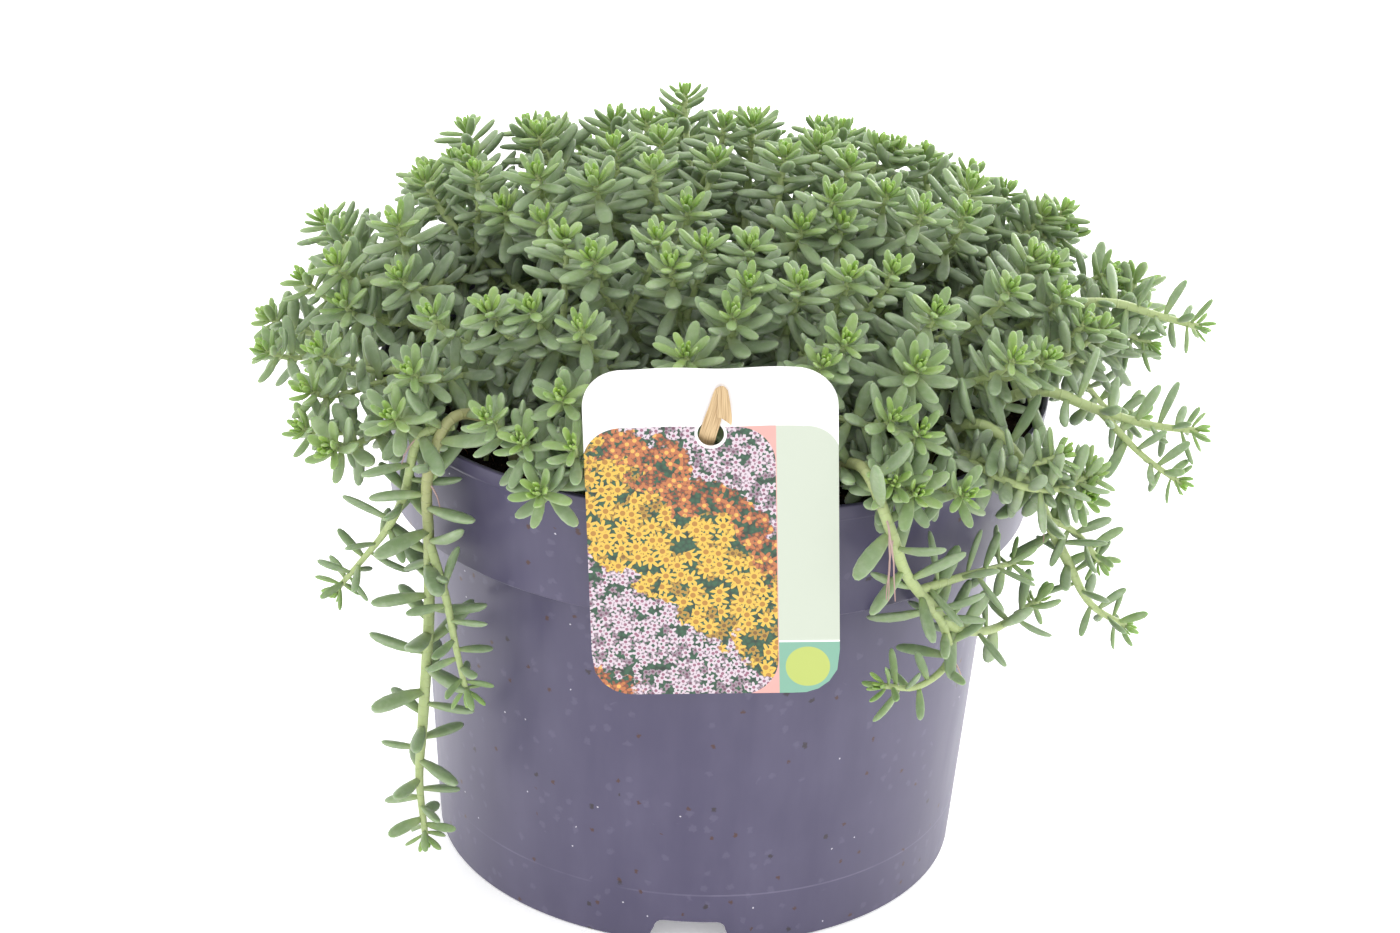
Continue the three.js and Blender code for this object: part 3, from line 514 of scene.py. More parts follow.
def ring_places(shoot):
    """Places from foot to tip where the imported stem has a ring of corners."""
    course = shoot["course"]
    places = [0, NODE_LENGTH]
    foot = course.length - (HOLE_DEPTH - GAP + UPRIGHT_OVER_SOIL if shoot["rooted"] else 0)
    leafy = min(shoot["leafy"], foot - NODE_LENGTH - BARE_AT_FORK)
    node = WHORL_SPACING
    while node + NODE_LENGTH <= leafy:
        places += [node, node + NODE_LENGTH]
        node += WHORL_SPACING
    last = places[-1]
    spans = max(1, math.floor(course.turning(foot, last) / BARE_SPAN_TURN + 0.5))
    places += [last + (foot - last) * i / spans for i in range(1, spans + 1)]
    if shoot["rooted"]:
        places.append(course.length)
    return places[::-1]


def distances(p1, q1, p2, q2):
    """The closest distances between each of some straight stretches and each of others."""
    d1, d2 = q1 - p1, q2 - p2
    r = p1[:, None] - p2[None]
    a = np.einsum("ij,ij->i", d1, d1)[:, None]
    e = np.einsum("ij,ij->i", d2, d2)[None]
    b = d1 @ d2.T
    c = np.einsum("ik,ijk->ij", d1, r)
    f = np.einsum("jk,ijk->ij", d2, r)
    den = a * e - b * b
    s = np.where(den > 1e-9, np.clip((b * f - c * e) / np.where(den > 1e-9, den, 1), 0, 1), 0)
    t = (b * s + f) / e
    s = np.where(t < 0, np.clip(-c / a, 0, 1), np.where(t > 1, np.clip((b - c) / a, 0, 1), s))
    t = np.clip(t, 0, 1)
    apart = r + d1[:, None] * s[..., None] - d2[None] * t[..., None]
    return np.linalg.norm(apart, axis=2)


def pot_radius(height):
    """The pot's outer radius at a height, on the body or on the collar."""
    height = np.asarray(height, float)
    on_body = FOOT_RADIUS + (BODY_TOP_RADIUS - FOOT_RADIUS) * height / COLLAR_FOOT_HEIGHT
    share = (height - COLLAR_FOOT_HEIGHT) / (POT_HEIGHT - COLLAR_FOOT_HEIGHT)
    on_collar = COLLAR_FOOT_RADIUS + (RIM_RADIUS - COLLAR_FOOT_RADIUS) * share
    return np.where(height < COLLAR_FOOT_HEIGHT, on_body, on_collar)


def clears_holder(points, radius, card_front=LABEL_THICKNESS):
    """Whether balls of this radius clear the pot, the soil, the label and the tie."""
    points = np.atleast_2d(points)
    x, y, z = points.T
    reach = radius + GAP
    from_axis = np.hypot(x, y)
    outer = np.maximum(pot_radius(z), pot_radius(z + reach))
    outside = from_axis > outer + reach
    inside = ((from_axis < pot_radius(z) - WALL - reach - GAP)
              & (z > SOIL_HEIGHT + SOIL_BUMP + reach))
    pot_ok = (z >= POT_HEIGHT + reach) | outside | inside
    from_back = -(y + RIM_RADIUS + GAP)
    across, up = x - LABEL_MIDDLE[0], z - LABEL_MIDDLE[1]
    label_x = across * math.cos(LABEL_TURN) + up * math.sin(LABEL_TURN)
    label_y = up * math.cos(LABEL_TURN) - across * math.sin(LABEL_TURN)
    beside = ((np.abs(label_x) > LABEL_WIDTH / 2 + reach)
              | (np.abs(label_y) > LABEL_HEIGHT / 2 + reach))
    label_ok = beside | (from_back <= -reach) | (from_back >= card_front + reach)
    above_hole = label_y - LABEL_HOLE_ABOVE_MIDDLE
    tie_x = label_x * math.cos(TIE_LEAN) + above_hole * math.sin(TIE_LEAN)
    tie_up = above_hole * math.cos(TIE_LEAN) - label_x * math.sin(TIE_LEAN)
    tie_out = np.where(tie_up > TIE_SLAB["upright_from"], TIE_SLAB["half"],
                       tie_up * TIE_SLAB["slope"] + TIE_SLAB["start"])
    tie_ok = ((np.abs(tie_x) > TIE_WIDTH / 2 + reach) | (tie_up > TIE_TOP + reach)
              | (np.abs(from_back - tie_out) > TIE_SLAB["half"] + reach))
    return pot_ok & label_ok & tie_ok


class Bush:
    """The stems' courses, laid one after another so that each clears the pot and the rest."""

    def __init__(self):
        self.shoots = []
        self.roots = []
        self.starts = np.zeros((0, 3))
        self.ends = np.zeros((0, 3))
        self.owners = np.zeros(0, int)
        self.lay()

    def rings(self, shoot):
        return np.array([shoot["course"].at(place) for place in ring_places(shoot)])

    def keep(self, shoot):
        rings = self.rings(shoot)
        self.starts = np.vstack((self.starts, rings[:-1]))
        self.ends = np.vstack((self.ends, rings[1:]))
        self.owners = np.append(self.owners, [shoot["spray"]] * (len(rings) - 1))
        self.shoots.append(shoot)

    def is_clear(self, shoot):
        rings = self.rings(shoot)
        starts, ends = rings[:-1], rings[1:]
        ways = unit(ends - starts)
        bends = np.arccos(np.clip(np.einsum("ij,ij->i", ways[1:], ways[:-1]), -1, 1))
        if np.any(bends >= SHARPEST_BEND):
            return False
        for i, (start, end) in enumerate(zip(starts, ends)):
            if shoot["rooted"] and i == 0:
                continue
            steps = math.ceil(np.linalg.norm(end - start) / 2) + 1
            shares = np.arange(steps + 1)[:, None] / steps
            if not clears_holder(start + (end - start) * shares, NODE_RADIUS).all():
                return False
        others = self.owners != shoot["spray"]
        if not others.any():
            return True
        apart = distances(starts, ends, self.starts[others], self.ends[others])
        return bool((apart > 2 * NODE_RADIUS + GAP).all())

    def bent_course(self, foot, foot_direction, tip, sway, rise):
        """A bent course from a foot to a tip. Sway bends it sideways and rise carries it higher."""
        span = np.linalg.norm(tip - foot)
        side = unit(np.cross(tip - foot, (0, 0, 1)))
        after_foot = foot + foot_direction * (FOOT_HOLD * span * rise) + side * (FOOT_SWAY * sway)
        before_tip = tip - tip_direction(tip) * (TIP_HOLD * span) + side * sway
        t = (np.arange(COURSE_STEPS + 1) / COURSE_STEPS)[:, None]
        return ((1 - t) ** 3 * foot + 3 * (1 - t) ** 2 * t * after_foot
                + 3 * (1 - t) * t ** 2 * before_tip + t ** 3 * tip)

    def root_of(self, tips):
        """A spray is rooted under its tips, nearer to the middle and away from other roots."""
        mean = np.mean(tips, axis=0)
        wanted = mean[:2] * ROOT_SPREAD
        tries = [wanted]
        for away in range(ROOT_STEP, ROOT_REACH + 1, ROOT_STEP):
            for i in range(ROOT_TURNS):
                turn = 2 * math.pi * i / ROOT_TURNS
                tries.append(wanted + away * np.array((math.cos(turn), math.sin(turn))))
        for root in tries:
            far = np.linalg.norm(root)
            root = root * (ROOT_LIMIT / far) if far > ROOT_LIMIT else root
            if all(np.linalg.norm(other - root) > HOLE_SPACING for other in self.roots):
                self.roots.append(root)
                return root
        raise RuntimeError("a spray has no free place for its root")

    def first_clear(self, candidates, kind):
        for points in candidates:
            shoot = dict(kind, course=Course(points))
            if self.is_clear(shoot):
                self.keep(shoot)
                return shoot
        return None

    def leader(self, tips, spray):
        root = self.root_of(tips)
        bottom = np.append(root, SOIL_HEIGHT - HOLE_DEPTH + GAP)
        foot = np.append(root, SOIL_HEIGHT + UPRIGHT_OVER_SOIL)
        upright = np.array((0.0, 0.0, 1.0))
        candidates = (np.vstack((bottom, self.bent_course(foot, upright, tips[0], sway, rise)))
                      for rise in RISES for sway in SWAYS)
        return self.first_clear(candidates, {
            "spray": spray, "rooted": True, "leafy": LEADER_LEAFY, "kind": "leader"})

    def on_faceted_line(self, shoot, point):
        """The place nearest to a point on the middle line of a packed stem, where a fork starts."""
        rings = self.rings(shoot)
        starts, ways = rings[:-1], np.diff(rings, axis=0)
        shares = np.einsum("ij,ij->i", point - starts, ways) / np.einsum("ij,ij->i", ways, ways)
        near = starts + ways * np.clip(shares, 0, 1)[:, None]
        return near[np.argmin(np.linalg.norm(near - point, axis=1))]

    def branch(self, main, tip, spray):
        course = main["course"]

        def candidates():
            for share in FORKS:
                from_tip = (course.length - HOLE_DEPTH) * (1 - share)
                foot = self.on_faceted_line(main, course.at(from_tip))
                direction = course.direction_at(from_tip)
                for rise in RISES:
                    for sway in SWAYS:
                        yield self.bent_course(foot, direction, tip, sway, rise)

        return self.first_clear(candidates(), {
            "spray": spray, "rooted": False, "leafy": BRANCH_LEAFY, "kind": "branch"})

    def lay(self):
        for spray, lists in enumerate(LONG_SPRAYS):
            for i, route in enumerate(lists):
                rooted = i == 0
                points = [np.array(point, float) for point in route]
                if rooted:
                    points.insert(0, np.array((*route[0][:2], SOIL_HEIGHT - HOLE_DEPTH + GAP)))
                    self.roots.append(points[0][:2])
                else:
                    points[0] = self.on_faceted_line(main, points[0])
                course = Course(smooth_route(points, LONG_COURSE_STEPS))
                leafy = course.length - (LONG_STEM_BARE if rooted else LONG_BRANCH_BARE)
                shoot = {"course": course, "spray": spray, "rooted": rooted, "leafy": leafy,
                         "kind": "long" if rooted else "long_branch"}
                self.keep(shoot)
                main = shoot if rooted else main
        rows = [[sighted_tip(*tip) for tip in row] for row in FRONT_SPRAYS] + back_tips()
        for spray, tips in enumerate(rows, len(LONG_SPRAYS)):
            main = self.leader(tips, spray)
            for tip in tips[1:]:
                self.branch(main, tip, spray)


def smooth_route(points, steps):
    """A smooth row of points through some given ones: a centripetal spline."""
    points = [2 * points[0] - points[1], *points, 2 * points[-1] - points[-2]]
    spans = len(points) - 3
    route = []
    for step in range(steps + 1):
        place = spans * step / steps
        i = min(int(place), spans - 1)
        share = place - i
        p0, p1, p2, p3 = points[i:i + 4]
        t0, t1, t2 = (math.sqrt(np.linalg.norm(b - a)) for a, b in ((p0, p1), (p1, p2), (p2, p3)))
        leave = t1 * ((p1 - p0) / t0 - (p2 - p0) / (t0 + t1) + (p2 - p1) / t1)
        arrive = t1 * ((p2 - p1) / t1 - (p3 - p1) / (t1 + t2) + (p3 - p2) / t2)
        route.append(p1 + leave * share + (3 * (p2 - p1) - 2 * leave - arrive) * share ** 2
                     + (2 * (p1 - p2) + leave + arrive) * share ** 3)
    return np.array(route)


@functools.cache
def bush():
    return Bush()


# Helpers for nodes, meshes and pieces

def srgb(code):
    """A colour's sRGB hex value as the linear red, green, blue and alpha that sockets take."""
    shares = [int(code[i:i + 2], 16) / 255 for i in (1, 3, 5)]
    return (*(s / 12.92 if s <= 0.04045 else ((s + 0.055) / 1.055) ** 2.4 for s in shares), 1.0)


def add(tree, kind, inputs=None, **settings):
    """Adds a node with its settings. A kind without "Node" in it is one of the shader nodes. An
    input is given its value, the socket that feeds it, or the node whose first output does."""
    node = tree.nodes.new(kind if "Node" in kind else "ShaderNode" + kind)
    for name, value in settings.items():
        setattr(node, name, value)
    for key, value in (inputs or {}).items():
        if isinstance(value, bpy.types.Node):
            value = value.outputs[0]
        if isinstance(value, bpy.types.NodeSocket):
            tree.links.new(value, node.inputs[key])
        else:
            node.inputs[key].default_value = value
    return node


def overlaid(tree, colour, *layers):
    """Lays more colours over one, each as strongly as its own share says."""
    for share, over in layers:
        colour = add(tree, "Mix", {0: share, 6: colour, 7: over}, data_type="RGBA").outputs[2]
    return colour


def blank_material(name):
    material = bpy.data.materials.new(name)
    material.use_nodes = True
    material.node_tree.nodes.clear()
    return material, material.node_tree


def surface(material, inputs):
    """Ends a material with its surface."""
    shader = add(material.node_tree, "BsdfPrincipled", inputs)
    add(material.node_tree, "OutputMaterial", {"Surface": shader})
    return material


def place_in_mm(tree):
    """The place on a piece in millimetres, as every pattern's size is given."""
    place = add(tree, "TexCoord").outputs["Object"]
    return add(tree, "VectorMath", {0: place, "Scale": 1 / MM}, operation="SCALE")


def geometry_tree(name, inputs):
    """A geometry tree with named inputs, and the sockets that they come in by."""
    tree = bpy.data.node_groups.new(name, "GeometryNodeTree")
    tree.interface.new_socket("Geometry", in_out="OUTPUT", socket_type="NodeSocketGeometry")
    for label, kind in {"Geometry": "Geometry", **inputs, "Material": "Material"}.items():
        tree.interface.new_socket(label, in_out="INPUT", socket_type="NodeSocket" + kind)
    return tree, add(tree, "NodeGroupInput").outputs


def end_tree(tree, given, geometry):
    """Ends a geometry tree: its instances become one real mesh in the given material."""
    real = add(tree, "GeometryNodeRealizeInstances", {"Geometry": geometry})
    made = add(tree, "GeometryNodeSetMaterial", {"Geometry": real, "Material": given["Material"]})
    add(tree, "NodeGroupOutput", {"Geometry": made})
    return tree


def mesh_piece(name, points, edges=(), faces=(), attributes=None, material=None):
    """A new piece from places in millimetres, with named values on its points."""
    mesh = bpy.data.meshes.new(name)
    mesh.from_pydata((np.asarray(points, float) * MM).tolist(), edges, faces)
    for key, values in (attributes or {}).items():
        values = np.asarray(values)
        if values.ndim == 2:
            kind, field = "FLOAT_VECTOR", "vector"
        else:
            kind, field = "INT" if values.dtype.kind == "i" else "FLOAT", "value"
        mesh.attributes.new(key, kind, "POINT").data.foreach_set(field, values.ravel())
    if material:
        mesh.materials.append(material)
    piece = bpy.data.objects.new(name, mesh)
    bpy.context.scene.collection.objects.link(piece)
    return piece


def applied(piece):
    """Makes what a piece's modifiers give its own plain mesh, and removes them."""
    graph = bpy.context.evaluated_depsgraph_get()
    mesh = bpy.data.meshes.new_from_object(piece.evaluated_get(graph), depsgraph=graph)
    piece.modifiers.clear()
    piece.data, spent = mesh, piece.data
    bpy.data.meshes.remove(spent)
    mesh.name = piece.name
    return piece


def grown(piece, tree, **inputs):
    """Runs a geometry tree on a piece, and keeps the result as its plain mesh."""
    modifier = piece.modifiers.new(tree.name, "NODES")
    modifier.node_group = tree
    for socket in tree.interface.items_tree:
        if socket.in_out == "INPUT" and socket.name in inputs:
            modifier[socket.identifier] = inputs[socket.name]
    return applied(piece)


def hand_over(piece, slot, *nodes):
    """Ties a finished piece to its body in the frame, and hides the nodes it stands for. The slot
    is not used.
    """
    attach(piece, BODY)
    if nodes:
        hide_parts(*nodes)


def skin(rings, count, first=0):
    """Faces from each ring of points to the next one."""
    faces = []
    for low in range(first, first + (rings - 1) * count, count):
        for i in range(count):
            k = (i + 1) % count
            faces.append((low + i, low + k, low + count + k, low + count + i))
    return faces


def faces_outward(piece):
    shaped = bmesh.new()
    shaped.from_mesh(piece.data)
    bmesh.ops.recalc_face_normals(shaped, faces=shaped.faces)
    shaped.to_mesh(piece.data)
    shaped.free()


def lathe(name, profile, sides, material=None):
    """A closed round piece from its profile of radii and heights, from axis to axis."""
    turns = [2 * math.pi * i / sides for i in range(sides)]
    points, rings, faces = [], [], []
    for radius, height in profile:
        ring = turns[:sides if radius > 0 else 1]
        rings.append(range(len(points), len(points) + len(ring)))
        points += [(radius * math.cos(t), radius * math.sin(t), height) for t in ring]
    for low, high in zip(rings, rings[1:]):
        for i in range(sides):
            k = (i + 1) % sides
            corners = (low[i % len(low)], low[k % len(low)],
                       high[k % len(high)], high[i % len(high)])
            faces.append(tuple(dict.fromkeys(corners)))
    piece = mesh_piece(name, points, faces=faces, material=material)
    faces_outward(piece)
    piece.data.shade_smooth()
    return piece


def eased(profile, radius, steps=3):
    """A profile with each corner off the axis rounded by an arc of about this radius."""
    result = [profile[0]]
    for before, corner, after in zip(profile, profile[1:], profile[2:]):
        before, corner, after = (np.array(p, float) for p in (before, corner, after))
        ease = min(radius, *(0.4 * np.linalg.norm(end - corner) for end in (before, after)))
        start = corner + unit(before - corner) * ease
        end = corner + unit(after - corner) * ease
        for i in range(steps + 1):
            t = i / steps
            result.append((1 - t) ** 2 * start + 2 * t * (1 - t) * corner + t * t * end)
    return [tuple(map(float, p)) for p in [*result, profile[-1]]]


def round_strand_tree():
    """Round strands along lines, as thick as each point's radius says."""
    tree, given = geometry_tree("Round strands", {"Sides": "Int"})
    line = add(tree, "GeometryNodeMeshToCurve", {"Mesh": given["Geometry"]})
    radius = add(tree, "GeometryNodeInputNamedAttribute", {"Name": "radius"}, data_type="FLOAT")
    ring = add(tree, "GeometryNodeCurvePrimitiveCircle", {
        "Resolution": given["Sides"], "Radius": 1.0})
    tube = add(tree, "GeometryNodeCurveToMesh", {
        "Curve": line, "Profile Curve": ring, "Scale": radius, "Fill Caps": True})
    return end_tree(tree, given, add(tree, "GeometryNodeSetShadeSmooth", {"Geometry": tube}))


def strands(name, rows, sides, material):
    """One piece of round strands. A row has points and radii in mm, and a shade for each point."""
    points, edges, radii, shades, runs = [], [], [], [], []
    for row_points, row_radii, row_shades in rows:
        first = len(points)
        edges += [(i, i + 1) for i in range(first, first + len(row_points) - 1)]
        steps = np.linalg.norm(np.diff(row_points, axis=0), axis=1)
        runs += np.append(0, np.cumsum(steps)).tolist()
        points += list(row_points)
        radii += (np.asarray(row_radii) * MM).tolist()
        shades += list(row_shades)
    piece = mesh_piece(name, points, edges, attributes={
        "radius": radii, "shade": shades, "run": runs})
    return grown(piece, round_strand_tree(), Sides=sides, Material=material)


# Finishes

def polypropylene(look):
    """Injection-moulded polypropylene in slate: an even satin skin. Handling leaves it cloudy with
    smudges, the next pot of a stack rubs a faint line into it, and watering leaves dried drops,
    pale dust and specks of soil."""
    material, tree = blank_material("Moulded polypropylene")
    place = place_in_mm(tree)
    parts = add(tree, "SeparateXYZ", {0: place}).outputs
    clouds = add(tree, "TexNoise", {"Vector": place, "Scale": 1 / 30, "Detail": 4.0})
    streaky = add(tree, "Mapping", {"Vector": place, "Scale": (1 / 9, 1 / 9, 1 / 40)})
    streaks = add(tree, "TexNoise", {"Vector": streaky, "Scale": 1.0, "Detail": 3.0})
    smudge = add(tree, "Math", {0: clouds, 1: streaks}, operation="MULTIPLY")
    smudge = add(tree, "MapRange", {0: smudge, 1: 0.15, 2: 0.45, 4: 0.22})
    rubbed = add(tree, "Math", {0: parts[2], 1: RUB_HEIGHT, 2: RUB_WIDTH / 2}, operation="COMPARE")
    faint = add(tree, "MapRange", {0: clouds, 1: 0.4, 2: 0.6, 4: 0.5})
    rubbed = add(tree, "Math", {0: rubbed, 1: faint}, operation="MULTIPLY")
    layers = [(smudge, look.smudge_colour), (rubbed, look.smudge_colour)]
    # Specks lie on the wall unrolled flat, and more of them where something splashed.
    turn = add(tree, "Math", {0: parts[1], 1: parts[0]}, operation="ARCTAN2")
    around = add(tree, "Math", {0: turn, 1: BODY_TOP_RADIUS}, operation="MULTIPLY")
    wall = add(tree, "CombineXYZ", {0: around, 1: parts[2]})
    splash = add(tree, "TexNoise", {"Vector": wall, "Scale": 1 / 25, "Detail": 1.0})
    splash = add(tree, "MapRange", {0: splash, 1: 0.42, 2: 0.64, 3: 0.1, 4: 3.6})
    # A speck's cell size, its radius, the share of cells that have one, its strength and colour.
    specks = (
        (6.0, 1.3, 0.22, 0.2, look.smudge_colour),
        (8.0, 0.3, 0.06, 0.9, srgb("#d9d6e0")),
        (7.0, 0.8, 0.09, 0.9, srgb("#4c3027")),
        (9.0, 1.0, 0.07, 0.8, srgb("#2e2523")),
    )
    for cell, radius, share, strength, colour in specks:
        wander = add(tree, "TexNoise", {"Vector": wall, "Scale": 0.9 / radius, "Detail": 2.0})
        shift = add(tree, "VectorMath", {
            0: wander.outputs["Color"], "Scale": radius * 2}, operation="SCALE")
        shifted = add(tree, "VectorMath", {0: wall, 1: shift}, operation="ADD")
        cells = add(tree, "TexVoronoi", {
            "Vector": shifted, "Scale": 1 / cell}, voronoi_dimensions="2D")
        near = add(tree, "MapRange", {
            0: cells, 1: radius / cell, 2: 0.5 * radius / cell, 4: strength})
        draw = add(tree, "SeparateColor", {0: cells.outputs["Color"]})
        likely = add(tree, "Math", {0: splash, 1: share}, operation="MULTIPLY")
        chosen = add(tree, "Math", {0: draw, 1: likely}, operation="LESS_THAN")
        layers.append((add(tree, "Math", {0: near, 1: chosen}, operation="MULTIPLY"), colour))
    rough = add(tree, "MapRange", {0: streaks, 1: 0.3, 2: 0.7, 3: 0.34, 4: 0.42})
    # The mould's grain is about 0.1 mm, and is drawn at 0.4 mm so that it shows.
    grain = add(tree, "TexNoise", {"Vector": place, "Scale": 1 / 0.4, "Detail": 2.0})
    bump = add(tree, "Bump", {"Strength": 0.12, "Distance": 0.04 * MM, "Height": grain})
    return surface(material, {
        "Base Color": overlaid(tree, look.colour, *layers), "Roughness": rough, "Normal": bump,
        "IOR": 1.49, "Specular IOR Level": 0.5})


def potting_soil(look):
    """Peat and coir: nearly black where it is moist, brown where it dries, with no gloss."""
    material, tree = blank_material("Peat potting soil")
    place = place_in_mm(tree)
    clods = add(tree, "TexNoise", {"Vector": place, "Scale": 1 / 4, "Detail": 5.0})
    crumbs = add(tree, "TexNoise", {"Vector": place, "Scale": 1 / 0.9, "Detail": 4.0})
    dry = add(tree, "Math", {0: clods, 1: crumbs}, operation="MULTIPLY")
    dry = add(tree, "MapRange", {0: dry, 1: 0.2, 2: 0.45})
    bump = add(tree, "Bump", {"Strength": 0.8, "Distance": 0.5 * MM, "Height": crumbs})
    return surface(material, {
        "Base Color": overlaid(tree, look.moist_colour, (dry, look.dry_colour)), "Roughness": 0.95,
        "Normal": bump, "Specular IOR Level": 0.2})


def thread(name, colour, other):
    """A dry, slightly glossy thread. Its own shade leads from one colour to the other."""
    material, tree = blank_material(name)
    shade = add(tree, "Attribute", attribute_name="shade").outputs["Fac"]
    return surface(material, {
        "Base Color": overlaid(tree, srgb(colour), (shade, srgb(other))), "Roughness": 0.6})


def coir():
    """Coir in the soil: stiff reddish-brown fibres."""
    return thread("Coir fibre", "#4a2a20", "#8a5a40")


def air_root():
    """Air roots: dry threads, pinkish brown, darker towards their ends."""
    return thread("Air root", "#c4aaa4", "#ad8c86")


def raffia(look):
    """Raffia: a split palm leaf, straw-coloured, with fine fibres along it and a dull gloss."""
    material, tree = blank_material("Raffia")
    strip = add(tree, "Attribute", attribute_name="strip").outputs["Vector"]
    # Fibres are 0.25 mm wide and keep their shade for about 12 mm.
    along = add(tree, "Mapping", {"Vector": strip, "Scale": (1 / 0.25, 1 / 12, 1)})
    fibres = add(tree, "TexNoise", {"Vector": along, "Scale": 1.0, "Detail": 2.0})
    dark = add(tree, "MapRange", {0: fibres, 1: 0.42, 2: 0.66})
    bump = add(tree, "Bump", {"Strength": 0.6, "Distance": 0.1 * MM, "Height": fibres})
    return surface(material, {
        "Base Color": overlaid(tree, look.colour, (dark, look.fibre_colour)), "Roughness": 0.55,
        "Normal": bump})


def patch(tree, place, low, high, corner):
    """1 inside a rounded rectangle of the card and 0 outside it, with a soft edge of 0.1 mm."""
    middle = [(a + b) / 2 for a, b in zip(low, high)]
    half = [(b - a) / 2 - corner for a, b in zip(low, high)]
    off = add(tree, "VectorMath", {0: place, 1: (*middle, 0)}, operation="SUBTRACT")
    off = add(tree, "VectorMath", {0: off}, operation="ABSOLUTE")
    off = add(tree, "VectorMath", {0: off, 1: (*half, 0)}, operation="SUBTRACT")
    off = add(tree, "VectorMath", {0: off, 1: (0, 0, 0)}, operation="MAXIMUM")
    off = add(tree, "VectorMath", {0: off}, operation="LENGTH").outputs["Value"]
    return add(tree, "MapRange", {0: off, 1: corner + 0.05, 2: corner - 0.05})


def flower_layer(tree, place, ground, cell, petals, reach, share, flower_colour, eye_colour):
    """Paints star flowers on a ground: one in a share of the cells, with petals and an eye."""
    cells = add(tree, "TexVoronoi", {"Vector": place, "Scale": 1 / cell, "Randomness": 0.85},
                voronoi_dimensions="2D").outputs
    off = add(tree, "VectorMath", {0: place, 1: cells["Position"]}, operation="SUBTRACT")
    parts = add(tree, "SeparateXYZ", {0: off}).outputs
    draw = add(tree, "SeparateColor", {0: cells["Color"]}).outputs
    angle = add(tree, "Math", {0: parts[1], 1: parts[0]}, operation="ARCTAN2")
    turned = add(tree, "Math", {0: draw[1], 1: 6.0, 2: angle}, operation="MULTIPLY_ADD")
    wave = add(tree, "Math", {0: turned, 1: float(petals)}, operation="MULTIPLY")
    wave = add(tree, "Math", {0: wave}, operation="COSINE")
    edge = add(tree, "MapRange", {0: wave, 1: -1.0, 2: 1.0, 3: 0.4 * reach, 4: reach})
    far = add(tree, "VectorMath", {0: off}, operation="LENGTH").outputs["Value"]
    inside = add(tree, "Math", {0: far, 1: edge}, operation="LESS_THAN")
    chosen = add(tree, "Math", {0: draw[0], 1: share}, operation="LESS_THAN")
    mask = add(tree, "Math", {0: inside, 1: chosen}, operation="MULTIPLY")
    eye = add(tree, "Math", {0: far, 1: 0.26 * reach}, operation="LESS_THAN")
    petal = overlaid(tree, srgb(flower_colour), (eye, srgb(eye_colour)))
    return overlaid(tree, ground, (mask, petal))


def flowery_picture(tree, card):
    """Drifts of flowers that run slantwise over dark leaves, with ragged bounds."""
    slant = add(tree, "VectorMath", {0: card, 1: (0.62, 0.78, 0)}, operation="DOT_PRODUCT")
    drift = slant.outputs["Value"]
    for size, detail, reach in ((14, 3.0, 34.0), (3, 2.0, 12.0)):
        ragged = add(tree, "TexNoise", {"Vector": card, "Scale": 1 / size, "Detail": detail})
        drift = add(tree, "Math", {0: ragged, 1: reach, 2: drift}, operation="MULTIPLY_ADD")
    leaves = add(tree, "TexVoronoi", {"Vector": card, "Scale": 1 / 1.3}, voronoi_dimensions="2D")
    ground = overlaid(tree, srgb("#2a5a3e"), (leaves, srgb("#101b15")))
    # The flowers of a drift, the ones behind before the ones in front: the cell, petals, reach,
    # share, petal colour and eye colour.
    orange = (2.3, 5, 1.7, 0.7, "#7d4229", "#b06a35"), (2.9, 5, 2.1, 0.75, "#b0683c", "#dca750")
    white = (1.9, 5, 1.5, 0.6, "#8f7c88", "#684055"), (2.4, 5, 1.7, 0.8, "#cbbcc6", "#8c5a70")
    yellow = (2.8, 6, 2.1, 0.6, "#a5802e", "#74531f"), (3.7, 7, 2.8, 0.8, "#d9b044", "#a8772a")
    picture = None
    # Each drift's start in mm along the slant. The first one has no start.
    for start, flowers in ((0, orange), (30, white), (56, yellow), (80, orange), (92, white)):
        layer = ground
        for i, flower in enumerate(flowers):
            moved = add(tree, "VectorMath", {0: card, 1: (37.0 * i, 11.0 * i, 0)})
            layer = flower_layer(tree, moved, layer, *flower)
        if picture:
            past = add(tree, "MapRange", {0: drift, 1: start - 0.4, 2: start + 0.4})
            layer = overlaid(tree, picture, (past, layer))
        picture = layer
    return picture


